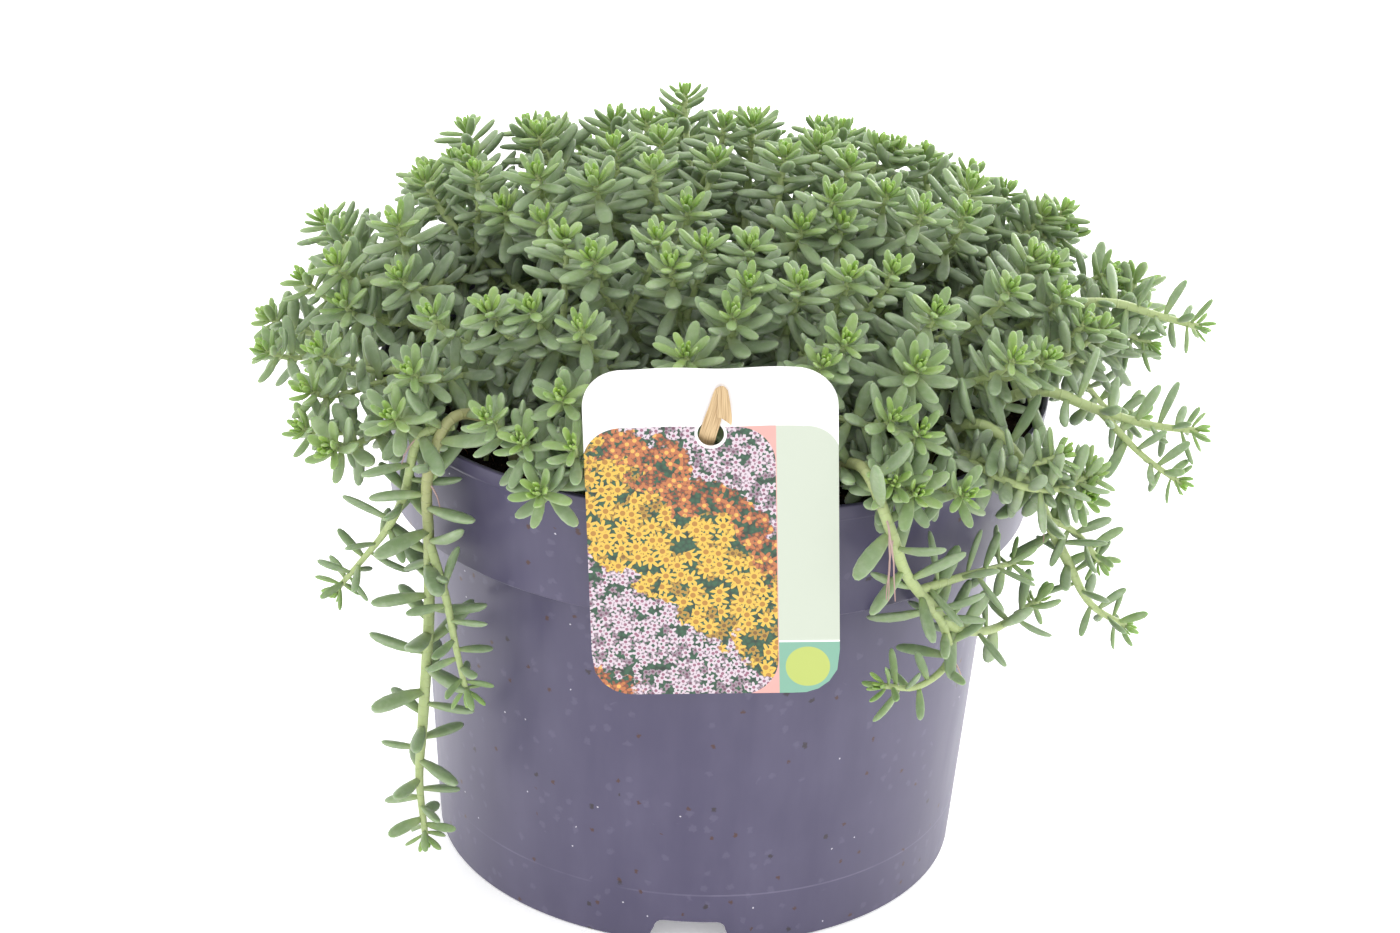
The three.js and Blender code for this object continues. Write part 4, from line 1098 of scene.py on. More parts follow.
def printed_card(look):
    """Offset print on a white polystyrene card, under a clear varnish: a flowery picture with
    rounded corners, a pale green strip, a small patch with a round spot, and a bare band above."""
    material, tree = blank_material("Printed polystyrene card")
    card = add(tree, "Attribute", attribute_name="card").outputs["Vector"]
    front = add(tree, "SeparateXYZ", {0: card}).outputs[2]
    card = add(tree, "VectorMath", {0: card, 1: (1, 1, 0)}, operation="MULTIPLY")
    # Each patch's low and high corners in mm from the card's own low left one, its corner radius
    # and its colour. A later one lies over an earlier one, and the print runs out over the edge.
    patches = (
        ((40.0, -0.5), (65.5, 30.0), 9.9, srgb("#76a691")),
        ((49.0, 15.0), (65.5, 40.0), 0.2, look.card_colour),
        ((49.0, 15.5), (65.5, 60.0), 0.2, look.strip_colour),
        ((49.0, 15.5), (56.0, 77.0), 0.2, look.strip_colour),
        ((49.0, 24.0), (65.5, 77.0), 8.6, look.strip_colour),
        ((50.8, 2.0), (62.4, 13.6), 5.7, srgb("#aebb5e")),
        ((36.0, -0.5), (49.1, 77.0), 0.2, look.accent_colour),
        ((-0.5, -0.5), (48.9, 77.0), 10.4, flowery_picture(tree, card)),
        ((28.4, 70.9), (36.6, 79.1), 4.0, look.card_colour),
    )
    layers = [(patch(tree, card, *shape), paint) for *shape, paint in patches]
    printed = overlaid(tree, look.card_colour, *layers)
    return surface(material, {
        "Base Color": overlaid(tree, look.card_colour, (front, printed)), "Roughness": 0.32,
        "IOR": 1.5, "Coat Weight": 0.25, "Coat Roughness": 0.15})


def stonecrop_leaf(look):
    """A living stonecrop leaf: fleshy and full of water, so light goes into it, under a thin wax
    skin. Young ones are yellow-green, older ones grey-green, and lower sides are paler. Leaves
    deep in the plant get the older colour as painted shade, and rims and tips a painted sheen."""
    material, tree = blank_material("Stonecrop leaf")
    age, tone, along, rim, upper = (add(tree, "Attribute", attribute_name=name).outputs["Fac"]
                                    for name in ("age", "tone", "along", "rim", "upper"))
    place = place_in_mm(tree)
    ripe = add(tree, "MapRange", {0: age, 1: 0.12, 2: 0.52})
    # The old colour is both the grey-green of old leaves and painted shade on leaves deep in the
    # plant.
    old_and_shaded = add(tree, "MapRange", {0: age, 1: 0.6, 2: 1.3})
    base = add(tree, "MapRange", {0: along, 1: 0.45, 2: 0.0, 4: 0.55})
    # The mottling is about 2 mm wide, as wide as half a leaf.
    mottle = add(tree, "TexNoise", {"Vector": place, "Scale": 1 / 2.0, "Detail": 3.0})
    # Painted sheen: rims and tips are drawn paler where light would catch the waxy skin. Lower
    # sides and the mottling are paler in their own right.
    pale = add(tree, "Math", {0: rim, 1: 0.45}, operation="MULTIPLY")
    under = add(tree, "MapRange", {0: upper, 1: 0.4, 2: 0.0, 4: 0.22})
    pale = add(tree, "Math", {0: pale, 1: under}, operation="MAXIMUM")
    cloudy = add(tree, "MapRange", {0: mottle, 1: 0.45, 2: 0.75, 4: 0.3})
    pale = add(tree, "Math", {0: pale, 1: cloudy}, operation="ADD")
    colour = overlaid(tree, look.young_colour, (ripe, look.mature_colour), (old_and_shaded, look.old_and_shaded_colour),
                      (base, look.base_colour), (pale, look.pale_and_sheen_colour))
    bright = add(tree, "MapRange", {0: tone, 3: 0.84, 4: 1.14})
    hue = add(tree, "MapRange", {0: tone, 3: 0.508, 4: 0.492})
    colour = add(tree, "HueSaturation", {"Color": colour, "Hue": hue, "Value": bright})
    # The skin's cells are about 0.05 mm, and are drawn at 0.5 mm so that they show.
    cells = add(tree, "TexNoise", {"Vector": place, "Scale": 1 / 0.5, "Detail": 2.0})
    bump = add(tree, "Bump", {"Strength": 0.25, "Distance": 0.12 * MM, "Height": cells})
    rough = add(tree, "MapRange", {0: cells, 3: 0.4, 4: 0.56})
    return surface(material, {
        "Base Color": colour, "Roughness": rough, "IOR": 1.42, "Subsurface Weight": 0.35,
        "Subsurface Scale": 2 * MM, "Subsurface Radius": (0.6, 1.0, 0.25), "Sheen Weight": 0.06,
        "Normal": bump})


def stonecrop_stem(look):
    """A creeping stem: soft and pale green near its tip, firmer and browner towards the soil, with
    rings where leaves have dropped."""
    material, tree = blank_material("Stonecrop stem")
    shade, run = (add(tree, "Attribute", attribute_name=name).outputs["Fac"]
                  for name in ("shade", "run"))
    patchy = add(tree, "TexNoise", {"Vector": place_in_mm(tree), "Scale": 1 / 6, "Detail": 4.0})
    woody = add(tree, "Math", {0: patchy, 1: 0.5, 2: shade}, operation="MULTIPLY_ADD")
    woody = add(tree, "MapRange", {0: woody, 1: 0.7, 2: 1.35})
    spaced = add(tree, "Math", {0: run, 1: 2 * math.pi / SCAR_SPACING}, operation="MULTIPLY")
    scars = add(tree, "Math", {0: spaced}, operation="SINE")
    scars = add(tree, "MapRange", {0: scars, 1: 0.75, 2: 1.0})
    bump = add(tree, "Bump", {"Strength": 0.5, "Distance": 0.3 * MM, "Height": scars})
    return surface(material, {
        "Base Color": overlaid(tree, look.stem_colour, (woody, look.woody_colour)),
        "Roughness": 0.5, "Normal": bump, "Subsurface Weight": 0.2,
        "Subsurface Scale": 1.5 * MM, "Subsurface Radius": (0.8, 1.0, 0.3)})


def studio_paper():
    """The sheet under the object: matt white paper, lit a little from below as on a light table."""
    return surface(blank_material("Studio paper")[0], {
        "Base Color": srgb("#fbfbfb"), "Roughness": 0.9, "Specular IOR Level": 0.1,
        "Emission Color": srgb("#ffffff"), "Emission Strength": 0.3})


# Pot

def notch_outline():
    """A notch from below the foot to its top, with eased upper corners."""
    half = NOTCH_WIDTH / 2
    right = [(half + NOTCH_FLARE, -NOTCH_BELOW)]
    for i in range(5):
        turn = math.pi / 2 * i / 4
        right.append((half - NOTCH_CORNER * (1 - math.cos(turn)),
                      NOTCH_HEIGHT - NOTCH_CORNER * (1 - math.sin(turn))))
    return right + [(-x, z) for x, z in reversed(right)]


def pot_cutters():
    """What the mould leaves out: four notches in the foot ring and the drain holes behind them."""
    points, faces = [], []

    def prism(outline, place):
        first, count = len(points), len(outline)
        points.extend(place(a, b, end) for end in (0, 1) for a, b in outline)
        ends = range(first, first + count), range(first + 2 * count - 1, first + count - 1, -1)
        faces.extend([*map(tuple, ends), *skin(2, count, first)])

    near, far = FOOT_RADIUS + WALL, CHANNEL_INNER_RADIUS + 3 * WALL
    for i in range(NOTCHES):
        turn = 2 * math.pi * i / NOTCHES
        sin, cos = math.sin(turn), math.cos(turn)
        prism(notch_outline(), lambda a, b, end: (
            sin * (near, far)[end] + cos * a, sin * a - cos * (near, far)[end], b))
    ring = [(math.cos(2 * math.pi * i / 24), math.sin(2 * math.pi * i / 24)) for i in range(24)]
    middle = (CHANNEL_INNER_RADIUS + FOOT_RADIUS) / 2
    for i in range(DRAIN_HOLES):
        turn = 2 * math.pi * (i + 0.5) / DRAIN_HOLES
        x, y = middle * math.cos(turn), middle * math.sin(turn)
        prism(ring, lambda a, b, end: (
            x + DRAIN_RADIUS * a, y + DRAIN_RADIUS * b, CHANNEL_HEIGHT + (2.5 * end - 0.75) * WALL))
    cutter = mesh_piece("pot_cutters", points, faces=faces)
    faces_outward(cutter)
    return cutter


def build_pot(look):
    shoulder, floor_top = COLLAR_FOOT_HEIGHT + WALL, CHANNEL_HEIGHT + WALL
    bead = POT_HEIGHT - BEAD_HEIGHT
    profile = [
        (0, 0),
        (CHANNEL_INNER_RADIUS, 0),
        (CHANNEL_INNER_RADIUS + CHANNEL_SLOPE, CHANNEL_HEIGHT),
        (pot_radius(CHANNEL_HEIGHT) - WALL, CHANNEL_HEIGHT),
        (FOOT_RADIUS - WALL, 0),
        (FOOT_RADIUS, 0),
        (BODY_TOP_RADIUS, COLLAR_FOOT_HEIGHT),
        (COLLAR_FOOT_RADIUS, COLLAR_FOOT_HEIGHT),
        (pot_radius(bead) - BEAD_DEPTH, bead - BEAD_SLOPE),
        (pot_radius(bead), bead),
        (RIM_RADIUS, POT_HEIGHT),
        (RIM_RADIUS - WALL, POT_HEIGHT),
        (pot_radius(shoulder) - WALL, shoulder),
        (BODY_TOP_RADIUS - WALL, shoulder),
        (pot_radius(floor_top) - WALL, floor_top),
        (CHANNEL_INNER_RADIUS + CHANNEL_SLOPE - WALL, floor_top),
        (CHANNEL_INNER_RADIUS - WALL, WALL),
        (0, WALL),
    ]
    profile = eased(profile, look.edge_radius / MM)
    pot = lathe("pot_body", profile, POT_SIDES, polypropylene(look))
    cutter = pot_cutters()
    cut = pot.modifiers.new("Notches and drain holes", "BOOLEAN")
    cut.operation, cut.solver, cut.object = "DIFFERENCE", "EXACT", cutter
    applied(pot)
    bpy.data.objects.remove(cutter)
    pot.data.set_sharp_from_angle(angle=SHARP_EDGE)
    hand_over(pot, "pot_plastic", "pot")


# Soil

def soil_height(x, y):
    """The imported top's slow waves, with clods on them."""
    along, away = SOIL_WAVES
    height = SOIL_HEIGHT + SOIL_BUMP * math.sin(x / along) * math.cos(y / away)
    for width, swell, layer in CLODS:
        height += swell * noise.noise(Vector((x / width, y / width, layer)))
    return height


def crumb_tree():
    """Crumbs strewn over a top, each turned and sized by chance, added to what they lie on."""
    tree, given = geometry_tree("Strewn crumbs", {
        "Density": "Float", "Size": "Float", "Seed": "Int"})
    share = add(tree, "GeometryNodeInputNamedAttribute", {"Name": "top"}, data_type="FLOAT")
    density = add(tree, "Math", {0: share, 1: given["Density"]}, operation="MULTIPLY")
    spread = add(tree, "GeometryNodeDistributePointsOnFaces", {
        "Mesh": given["Geometry"], "Density": density, "Seed": given["Seed"]})
    ball = add(tree, "GeometryNodeMeshIcoSphere", {"Radius": 1.0, "Subdivisions": 1})
    turn = add(tree, "FunctionNodeRandomValue", {
        0: (0, 0, 0), 1: (CRUMB_TURN,) * 3, "Seed": given["Seed"]}, data_type="FLOAT_VECTOR")
    size = add(tree, "FunctionNodeRandomValue", {
        0: CRUMB_LEAST, 1: CRUMB_MOST, "Seed": CRUMB_SIZE_SEED}, data_type="FLOAT_VECTOR")
    scale = add(tree, "VectorMath", {0: size, "Scale": given["Size"]}, operation="SCALE")
    strewn = add(tree, "GeometryNodeInstanceOnPoints", {
        "Points": spread, "Instance": ball, "Rotation": turn, "Scale": scale})
    both = add(tree, "GeometryNodeJoinGeometry", {0: given["Geometry"]})
    tree.links.new(strewn.outputs[0], both.inputs[0])
    return end_tree(tree, given, both)


def fibre_rows(edge, count):
    """Coir fibres that lie curled on the soil, each lifted in its middle."""
    draw = random.Random(FIBRE_SEED)
    rows = []
    for _ in range(count):
        turn = draw.uniform(0, 2 * math.pi)
        far = (edge - FIBRE_START_GAP) * math.sqrt(draw.random())
        place = np.array((far * math.cos(turn), far * math.sin(turn)))
        heading, curl = draw.uniform(0, 2 * math.pi), draw.uniform(-FIBRE_CURL, FIBRE_CURL)
        step, lift = draw.uniform(*FIBRE_LENGTH) / FIBRE_STEPS, draw.uniform(*FIBRE_LIFT)
        points = []
        for i in range(FIBRE_STEPS + 1):
            over = FIBRE_REST + lift * math.sin(math.pi * i / FIBRE_STEPS)
            points.append((*place, soil_height(*place) + over))
            heading += curl
            place = place + np.array((math.cos(heading), math.sin(heading))) * step
            if np.linalg.norm(place) > edge - FIBRE_END_GAP:
                break
        if len(points) > 3:
            radius, shade = draw.uniform(*FIBRE_RADIUS), draw.random()
            rows.append((points, [radius] * len(points), [shade] * len(points)))
    return rows


def build_soil(look):
    inside = 2 * GAP + WALL
    floor_top, shoulder = CHANNEL_HEIGHT + WALL + GAP, COLLAR_FOOT_HEIGHT + WALL + GAP
    edge = float(pot_radius(SOIL_HEIGHT)) - inside
    profile = [
        (0, WALL + GAP),
        (CHANNEL_INNER_RADIUS - inside, WALL + GAP),
        (CHANNEL_INNER_RADIUS + CHANNEL_SLOPE - inside, floor_top),
        (pot_radius(floor_top) - inside, floor_top),
        (BODY_TOP_RADIUS - inside, shoulder),
        (pot_radius(shoulder) - inside, shoulder),
    ]
    profile += [(edge * (SOIL_RINGS - i) / SOIL_RINGS, SOIL_HEIGHT) for i in range(SOIL_RINGS + 1)]
    soil = lathe("soil_fill", profile, SOIL_SIDES)
    top = soil.data.attributes.new("top", "FLOAT", "POINT")
    for vertex in soil.data.vertices:
        x, y, z = vertex.co / MM
        if z > SOIL_HEIGHT - 1:
            far = math.hypot(x, y)
            swell = (soil_height(x, y) - SOIL_HEIGHT) * float(smooth(edge, edge - SOIL_EDGE, far))
            vertex.co.z = MM * (SOIL_HEIGHT + swell)
            top.data[vertex.index].value = float(far < edge - 2 * look.crumb_size / MM)
    grown(soil, crumb_tree(), Density=look.crumbs, Size=look.crumb_size / 2, Seed=CRUMB_SEED,
          Material=potting_soil(look))
    hand_over(soil, "potting_soil", "soil")
    fibres = strands("soil_fibres", fibre_rows(edge, look.fibres), FIBRE_SIDES, coir())
    hand_over(fibres, "potting_soil")


# Label and tie

def at_rim(points):
    """Stands what is drawn flat from the label's middle, as across, up and out, against the rim."""
    across, up, out = np.asarray(points, float).T
    x = across * math.cos(LABEL_TURN) - up * math.sin(LABEL_TURN) + LABEL_MIDDLE[0]
    z = across * math.sin(LABEL_TURN) + up * math.cos(LABEL_TURN) + LABEL_MIDDLE[1]
    return np.column_stack((x, -RIM_RADIUS - GAP - out, z))


def card_reach(turn):
    """How far the card's rounded outline is from its hole in a direction."""
    way = np.array((math.cos(turn), math.sin(turn)))
    low, high = 0.0, LABEL_HEIGHT
    for _ in range(30):
        far = (low + high) / 2
        place = np.abs(way * far + (0, LABEL_HOLE_ABOVE_MIDDLE))
        beyond = place - (LABEL_WIDTH / 2 - LABEL_CORNER, LABEL_HEIGHT / 2 - LABEL_CORNER)
        inside = np.linalg.norm(np.maximum(beyond, 0)) < LABEL_CORNER
        low, high = (far, high) if inside else (low, far)
    return low


def build_label(look):
    flat = []
    for share in CARD_RINGS:
        for i in range(CARD_RAYS):
            turn = 2 * math.pi * i / CARD_RAYS
            far = LABEL_HOLE_RADIUS + (card_reach(turn) - LABEL_HOLE_RADIUS) * share
            flat.append((far * math.cos(turn), far * math.sin(turn) + LABEL_HOLE_ABOVE_MIDDLE))
    flat = np.array(flat)
    # Above the rim, the card's upper edge is a little wavy.
    wave = look.wave / MM / 2 * (1 + np.sin(flat[:, 0] / LABEL_WAVE_STRETCH + LABEL_WAVE_SHIFT))
    wave *= smooth(LABEL_WAVE_FROM, LABEL_HEIGHT / 2, flat[:, 1])
    points = [np.column_stack((flat, wave + out)) for out in (look.thickness / MM, 0)]
    back = len(flat)
    outer = back - CARD_RAYS
    faces = [(face[0], *face[:0:-1]) for face in skin(len(CARD_RINGS), CARD_RAYS)]
    faces += skin(len(CARD_RINGS), CARD_RAYS, back)
    for i in range(CARD_RAYS):
        k = (i + 1) % CARD_RAYS
        faces += [(i, k, k + back, i + back),
                  (outer + k, outer + i, outer + i + back, outer + k + back)]
    corner = np.array((LABEL_WIDTH / 2, LABEL_HEIGHT / 2))
    card = np.column_stack((np.vstack((flat, flat)) + corner, np.repeat((1.0, 0.0), back)))
    label = mesh_piece("label_card", at_rim(np.vstack(points)), faces=faces,
                       attributes={"card": card}, material=printed_card(look))
    label.data.shade_smooth()
    label.data.set_sharp_from_angle(angle=SHARP_EDGE)
    hand_over(label, "label_card", "label")


def build_tie(look):
    course = smooth_route([np.array(point, float) for point in TIE_ROUTE], TIE_STEPS)
    half_width, half_thick = look.width / MM / 2, look.thickness / MM / 2
    across = (-1, -0.5, 0, 0.5, 1)
    section = [(a, -1) for a in across] + [(a, 1) for a in reversed(across)]
    ways = unit(np.gradient(course[:, 1:], axis=0))
    runs = np.append(0, np.cumsum(np.linalg.norm(np.diff(course, axis=0), axis=1)))
    cos, sin = math.cos(TIE_LEAN), math.sin(TIE_LEAN)
    points, strip = [], []
    for i, ((shift, up, out), (rise, leave)) in enumerate(zip(course, ways)):
        # The strand is gathered where it folds over, and fills the label's hole.
        narrow = TIE_SPREAD - TIE_GATHERED * float(smooth(*TIE_GATHERS, up))
        for a, b in section:
            # It is cupped, its fold is rounded off at the sides, and its end is cut slantwise.
            lift = b * half_thick + TIE_CUP * (1 - a * a)
            slant = TIE_END_SLANT * a if i == TIE_STEPS else (
                TIE_FOLD_SLANT * a * a * float(smooth(*TIE_FOLD, up)))
            x = shift + a * half_width * narrow
            y = up - leave * lift - slant
            points.append((x * cos - y * sin, x * sin + y * cos + LABEL_HOLE_ABOVE_MIDDLE,
                           out + rise * lift))
            strip.append((a * half_width, runs[i], b))
    count, end = len(section), TIE_STEPS * len(section)
    faces = [tuple(range(count - 1, -1, -1)), tuple(range(end, end + count)),
             *skin(TIE_STEPS + 1, count)]
    tie = mesh_piece("raffia_tie", at_rim(points), faces=faces, attributes={"strip": strip},
                     material=raffia(look))
    faces_outward(tie)
    tie.data.shade_smooth()
    tie.data.set_sharp_from_angle(angle=TIE_SHARP_EDGE)
    hand_over(tie, "raffia", "label_tie")


# Stems and leaves

@functools.cache
def low_shoots():
    """Short young shoots in the soil, wherever the sprays leave room for them."""
    draw = random.Random(LOW_SEED)
    shoots, tips = [], []
    while len(shoots) < LOW_SHOOTS:
        turn, far = draw.uniform(0, 2 * math.pi), ROOT_LIMIT * math.sqrt(draw.random())
        place = np.array((far * math.cos(turn), max(far * math.sin(turn), LOW_FRONT)))
        lean, heading = draw.uniform(0, LOW_LEAN), draw.uniform(0, 2 * math.pi)
        foot = np.array((*place, soil_height(*place) - LOW_FOOT_DEPTH))
        tip = foot + (lean * math.cos(heading), lean * math.sin(heading),
                      draw.uniform(*LOW_HEIGHTS))
        from_stems = distances(foot[None], tip[None], bush().starts, bush().ends).min()
        apart = min((np.linalg.norm(tip - other) for other in tips), default=LOW_APART)
        # The later ones stand closer, down to half as far from the rest.
        room = 1 - 0.5 * len(shoots) / LOW_SHOOTS
        if from_stems >= LOW_FROM_STEMS * room and apart >= LOW_APART * room:
            middle = (foot + tip) / 2 - (tip - foot) * (LOW_BEND, LOW_BEND, 0)
            course = Course(smooth_route([foot, middle, tip], LOW_COURSE_STEPS))
            shoots.append({"course": course, "kind": "low"})
            tips.append(tip)
    return shoots


def shoot_groups():
    """Each piece's share of the shoots, with the nodes that it stands for."""
    for group, sprays in SPRAY_GROUPS.items():
        shoots = [shoot for shoot in bush().shoots if shoot["spray"] in sprays]
        yield group, shoots, [f"spray_{spray + 1:02d}" for spray in sprays]
    yield "low", low_shoots(), ()


def build_stems(look):
    stem = stonecrop_stem(look)
    for group, shoots, nodes in shoot_groups():
        rows = []
        for shoot in shoots:
            course = shoot["course"]
            steps = max(4, round(course.length / STEM_STEP))
            places = np.linspace(course.length, 0, steps + 1)
            points = [course.at(place) for place in places]
            points.append(course.at(0) + course.direction_at(0) * STEM_POINT)
            thick = STEM_THICKNESS[shoot["kind"]] * look.stem_radius / MM
            swell = (1 - STEM_TIP_THICKNESS) * smooth(*STEM_SWELLS, places)
            radii = thick * (STEM_TIP_THICKNESS + swell)
            shades = smooth(*STEM_RIPENS, places)
            rows.append((points, [*radii, STEM_POINT_THICKNESS * radii[-1]], [*shades, 0]))
        hand_over(strands(f"stems_{group}", rows, STEM_SIDES, stem), "foliage", *nodes)
    roots = strands("air_roots", air_root_rows(), AIR_ROOT_SIDES, air_root())
    hand_over(roots, "foliage")


def air_root_rows():
    """Thin roots that hang from the long stems: they leave sideways and droop."""
    rows = []
    for spray, shoot_of_spray, share, heading, length in AIR_ROOTS:
        shoots = [shoot for shoot in bush().shoots if shoot["spray"] == spray]
        course = shoots[shoot_of_spray]["course"]
        points = [course.at(course.length * share)]
        turn = math.radians(heading)
        way = np.array((math.cos(turn), math.sin(turn), AIR_ROOT_SLOPE))
        for i in range(AIR_ROOT_STEPS):
            sway = AIR_ROOT_SWAY * math.sin(2 * i + heading)
            way = unit(way + np.array((sway, 0, AIR_ROOT_DROOP)))
            points.append(points[-1] + way * length / AIR_ROOT_STEPS)
        kept = [points[0], *(point for point in points[1:]
                             if clears_holder(point, AIR_ROOT_ROOM).all())]
        if len(kept) > 3:
            radii = np.linspace(*AIR_ROOT_RADII, len(kept))
            rows.append((kept, radii, np.linspace(0, 1, len(kept))))
    return rows


def leaf_width(share):
    """How wide a leaf is along it, as a share of its widest: club-shaped, with a round tip."""
    swell = 0.44 + 0.56 * math.sin(math.pi / 2 * min(share / LEAF_WIDEST, 1))
    past = max(0.0, (share - LEAF_WIDEST) / (1 - LEAF_WIDEST))
    return swell * (1 - past ** 2.7) ** 0.5


def leaf_form(name, rings, sides, bend, sway):
    """One leaf of unit length, width and thickness. It stands along +Z, its upper side is +X."""
    points, along, rim, upper = [], [], [], []
    for share in rings:
        wide = leaf_width(share)
        for i in range(sides):
            cos, sin = math.cos(2 * math.pi * i / sides), math.sin(2 * math.pi * i / sides)
            thick = cos * (FLAT_SIDE if cos > 0 else 1)
            points.append((thick * wide / 2 + bend * share ** 2,
                           wide * sin / 2 + sway * share ** 2, share))
            along.append(share)
            # The rim value marks the leaf's sides and tip, where its finish paints a pale sheen.
            rim.append(abs(sin) ** 6 * share)
            upper.append(cos / 2 + 0.5)
    last, tip = len(points) - sides, len(points)
    points.append((bend, sway, 1.0))
    along.append(1.0)
    rim.append(1.0)
    upper.append(0.6)
    faces = [tuple(range(sides - 1, -1, -1)), *skin(len(rings), sides)]
    faces += [(last + i, last + (i + 1) % sides, tip) for i in range(sides)]
    leaf = mesh_piece(name, np.array(points) / MM, faces=faces,
                      attributes={"along": along, "rim": rim, "upper": upper})
    leaf.data.shade_smooth()
    return leaf


def leaf_tree():
    """A leaf on every point, picked, turned and sized by the point's own values."""
    tree, given = geometry_tree("Leaves on their places", {"Leaves": "Collection"})
    way, upside, size, form = (
        add(tree, "GeometryNodeInputNamedAttribute", {"Name": name}, data_type=kind)
        for name, kind in (("way", "FLOAT_VECTOR"), ("upside", "FLOAT_VECTOR"),
                           ("size", "FLOAT_VECTOR"), ("form", "INT")))
    leaves = add(tree, "GeometryNodeCollectionInfo", {
        "Collection": given["Leaves"], "Separate Children": True, "Reset Children": True})
    turn = add(tree, "FunctionNodeAxesToRotation", {
        "Primary Axis": way, "Secondary Axis": upside}, primary_axis="Z", secondary_axis="X")
    placed = add(tree, "GeometryNodeInstanceOnPoints", {
        "Points": given["Geometry"], "Instance": leaves, "Pick Instance": True,
        "Instance Index": form, "Rotation": turn, "Scale": size})
    return end_tree(tree, given, placed)


def leafy_length(shoot):
    """How far from its tip a shoot bears leaves."""
    length = shoot["course"].length - BARE_FOOT[shoot["kind"]]
    return min(length, LEADER_LEAVES) if shoot["kind"] == "leader" else length


def leaves_of(shoot, look, draw):
    """A shoot's leaves from the tip down, on a spiral, as the values that leaf_tree reads."""
    course = shoot["course"]
    hanging = shoot["kind"] in ("long", "long_branch")
    reach = leafy_length(shoot)
    full = draw.uniform(*FULL_LENGTH) * look.leaf_size
    full *= LOW_LEAVES if shoot["kind"] == "low" else 1
    gap = draw.uniform(*LEAF_GAP["long" if hanging else "short"])
    shoot_tone, shoot_width = draw.uniform(-0.12, 0.12), draw.uniform(0.9, 1.15)
    if hanging:
        shoot_tone, shoot_width = shoot_tone + HANGING_TONE, shoot_width * HANGING_WIDTH
    aside = draw.uniform(-1, 1), draw.uniform(-1, 1), 0.3
    side = unit(np.cross(course.direction_at(0), aside))
    place, spin, number = -HEART_PLACE, draw.uniform(0, 2 * math.pi), 0
    while place < reach:
        axis = course.direction_at(max(place, 0))
        side = unit(side - axis * (side @ axis))
        spin += GOLDEN_ANGLE + draw.uniform(-0.12, 0.12)
        radial = side * math.cos(spin) + np.cross(axis, side) * math.sin(spin)
        grown_up = float(smooth(*LEAF_GROWS, number))
        lift = draw.uniform(-7, 7) + LEAF_LIFT
        lift = math.radians(lift - sum(turn * float(smooth(low, high, number))
                                       for low, high, turn in LEAF_LEANS))
        if hanging:
            full = HANGING_LENGTH + HANGING_GAIN * float(smooth(*HANGING_GROWS, place))
            full *= look.leaf_size * draw.uniform(0.85, 1.08)
        length = full * (HEART_LENGTH + (1 - HEART_LENGTH) * grown_up) * draw.uniform(0.88, 1.08)
        way = radial * math.cos(lift) + axis * math.sin(lift) + np.array((0, 0, 0.1 * grown_up))
        start = course.at(max(place, 0)) + axis * max(-place, 0) + radial * LEAF_FOOT
        way = clear_way(start, unit(way), length)
        if way is not None:
            upside = axis * (1 - 0.5 * grown_up) + np.array((0, 0, 0.9 * grown_up))
            upside = unit(upside + side * draw.uniform(-0.2, 0.2))
            width = (LEAF_WIDTH + LEAF_WIDENS * length) * shoot_width * draw.uniform(0.92, 1.1)
            if number < YOUNG_LEAVES:
                form = draw.randrange(len(YOUNG_BENDS))
            else:
                form = len(YOUNG_BENDS) + draw.randrange(len(GROWN_BENDS))
            # Leaves deep under the dome are dulled as painted shade: their age value is raised by
            # their depth, so they take the old leaves' colour.
            depth = 1 - np.linalg.norm((start - DOME_MIDDLE) / DOME_RADII)
            age = min(number / AGE_STEPS, HANGING_AGE if hanging else OLDEST)
            age += 0.0 if hanging else SHADE_AGE * float(smooth(*SHADE_DEPTHS, depth))
            tone = 0.5 + shoot_tone + draw.uniform(-0.3, 0.3)
            yield {
                "position": start, "way": way, "upside": upside,
                "size": np.array((LEAF_THICKNESS * width, width, length)) * MM,
                "form": form, "age": age, "tone": min(max(tone, 0), 1)}
        spread = gap * float(smooth(*LEAF_SPREADS, number)) * draw.uniform(0.75, 1.25)
        place += HEART_GAP + spread
        number += 1


def clear_way(start, way, length):
    """A leaf's direction, turned up or outwards where the pot, the soil, the label or the tie
    is in its way."""
    outward = unit(np.array((start[0], start[1], 0.0)))
    for rise, leave in LEAF_TURNS:
        tried = unit(way + outward * leave + np.array((0.0, 0.0, rise)))
        probes = start + tried * length * np.array(LEAF_PROBES)[:, None]
        clear = clears_holder(probes, LEAF_PROBE_RADIUS, LEAF_FREE_FRONT).all()
        if clear and probes[-1, 1] > FOREMOST:
            return tried
    return None


def build_leaves(look):
    forms = bpy.data.collections.new("leaf_forms")
    for rings, sides, bends in ((YOUNG_RINGS, YOUNG_SIDES, YOUNG_BENDS),
                                (GROWN_RINGS, GROWN_SIDES, GROWN_BENDS)):
        for bend, sway in bends:
            leaf = leaf_form(f"form_{len(forms.objects)}", rings, sides, bend, sway)
            bpy.context.scene.collection.objects.unlink(leaf)
            forms.objects.link(leaf)
    tree, finish = leaf_tree(), stonecrop_leaf(look)
    draw = random.Random(look.seed)
    for group, shoots, nodes in shoot_groups():
        rows = [row for shoot in shoots for row in leaves_of(shoot, look, draw)]
        values = {key: np.array([row[key] for row in rows]) for key in rows[0]}
        leaves = mesh_piece(f"leaves_{group}", values.pop("position"), attributes=values)
        grown(leaves, tree, Leaves=forms, Material=finish)
        hand_over(leaves, "foliage", *nodes)
    for leaf in list(forms.objects):
        bpy.data.objects.remove(leaf)
    bpy.data.collections.remove(forms)


# Stage

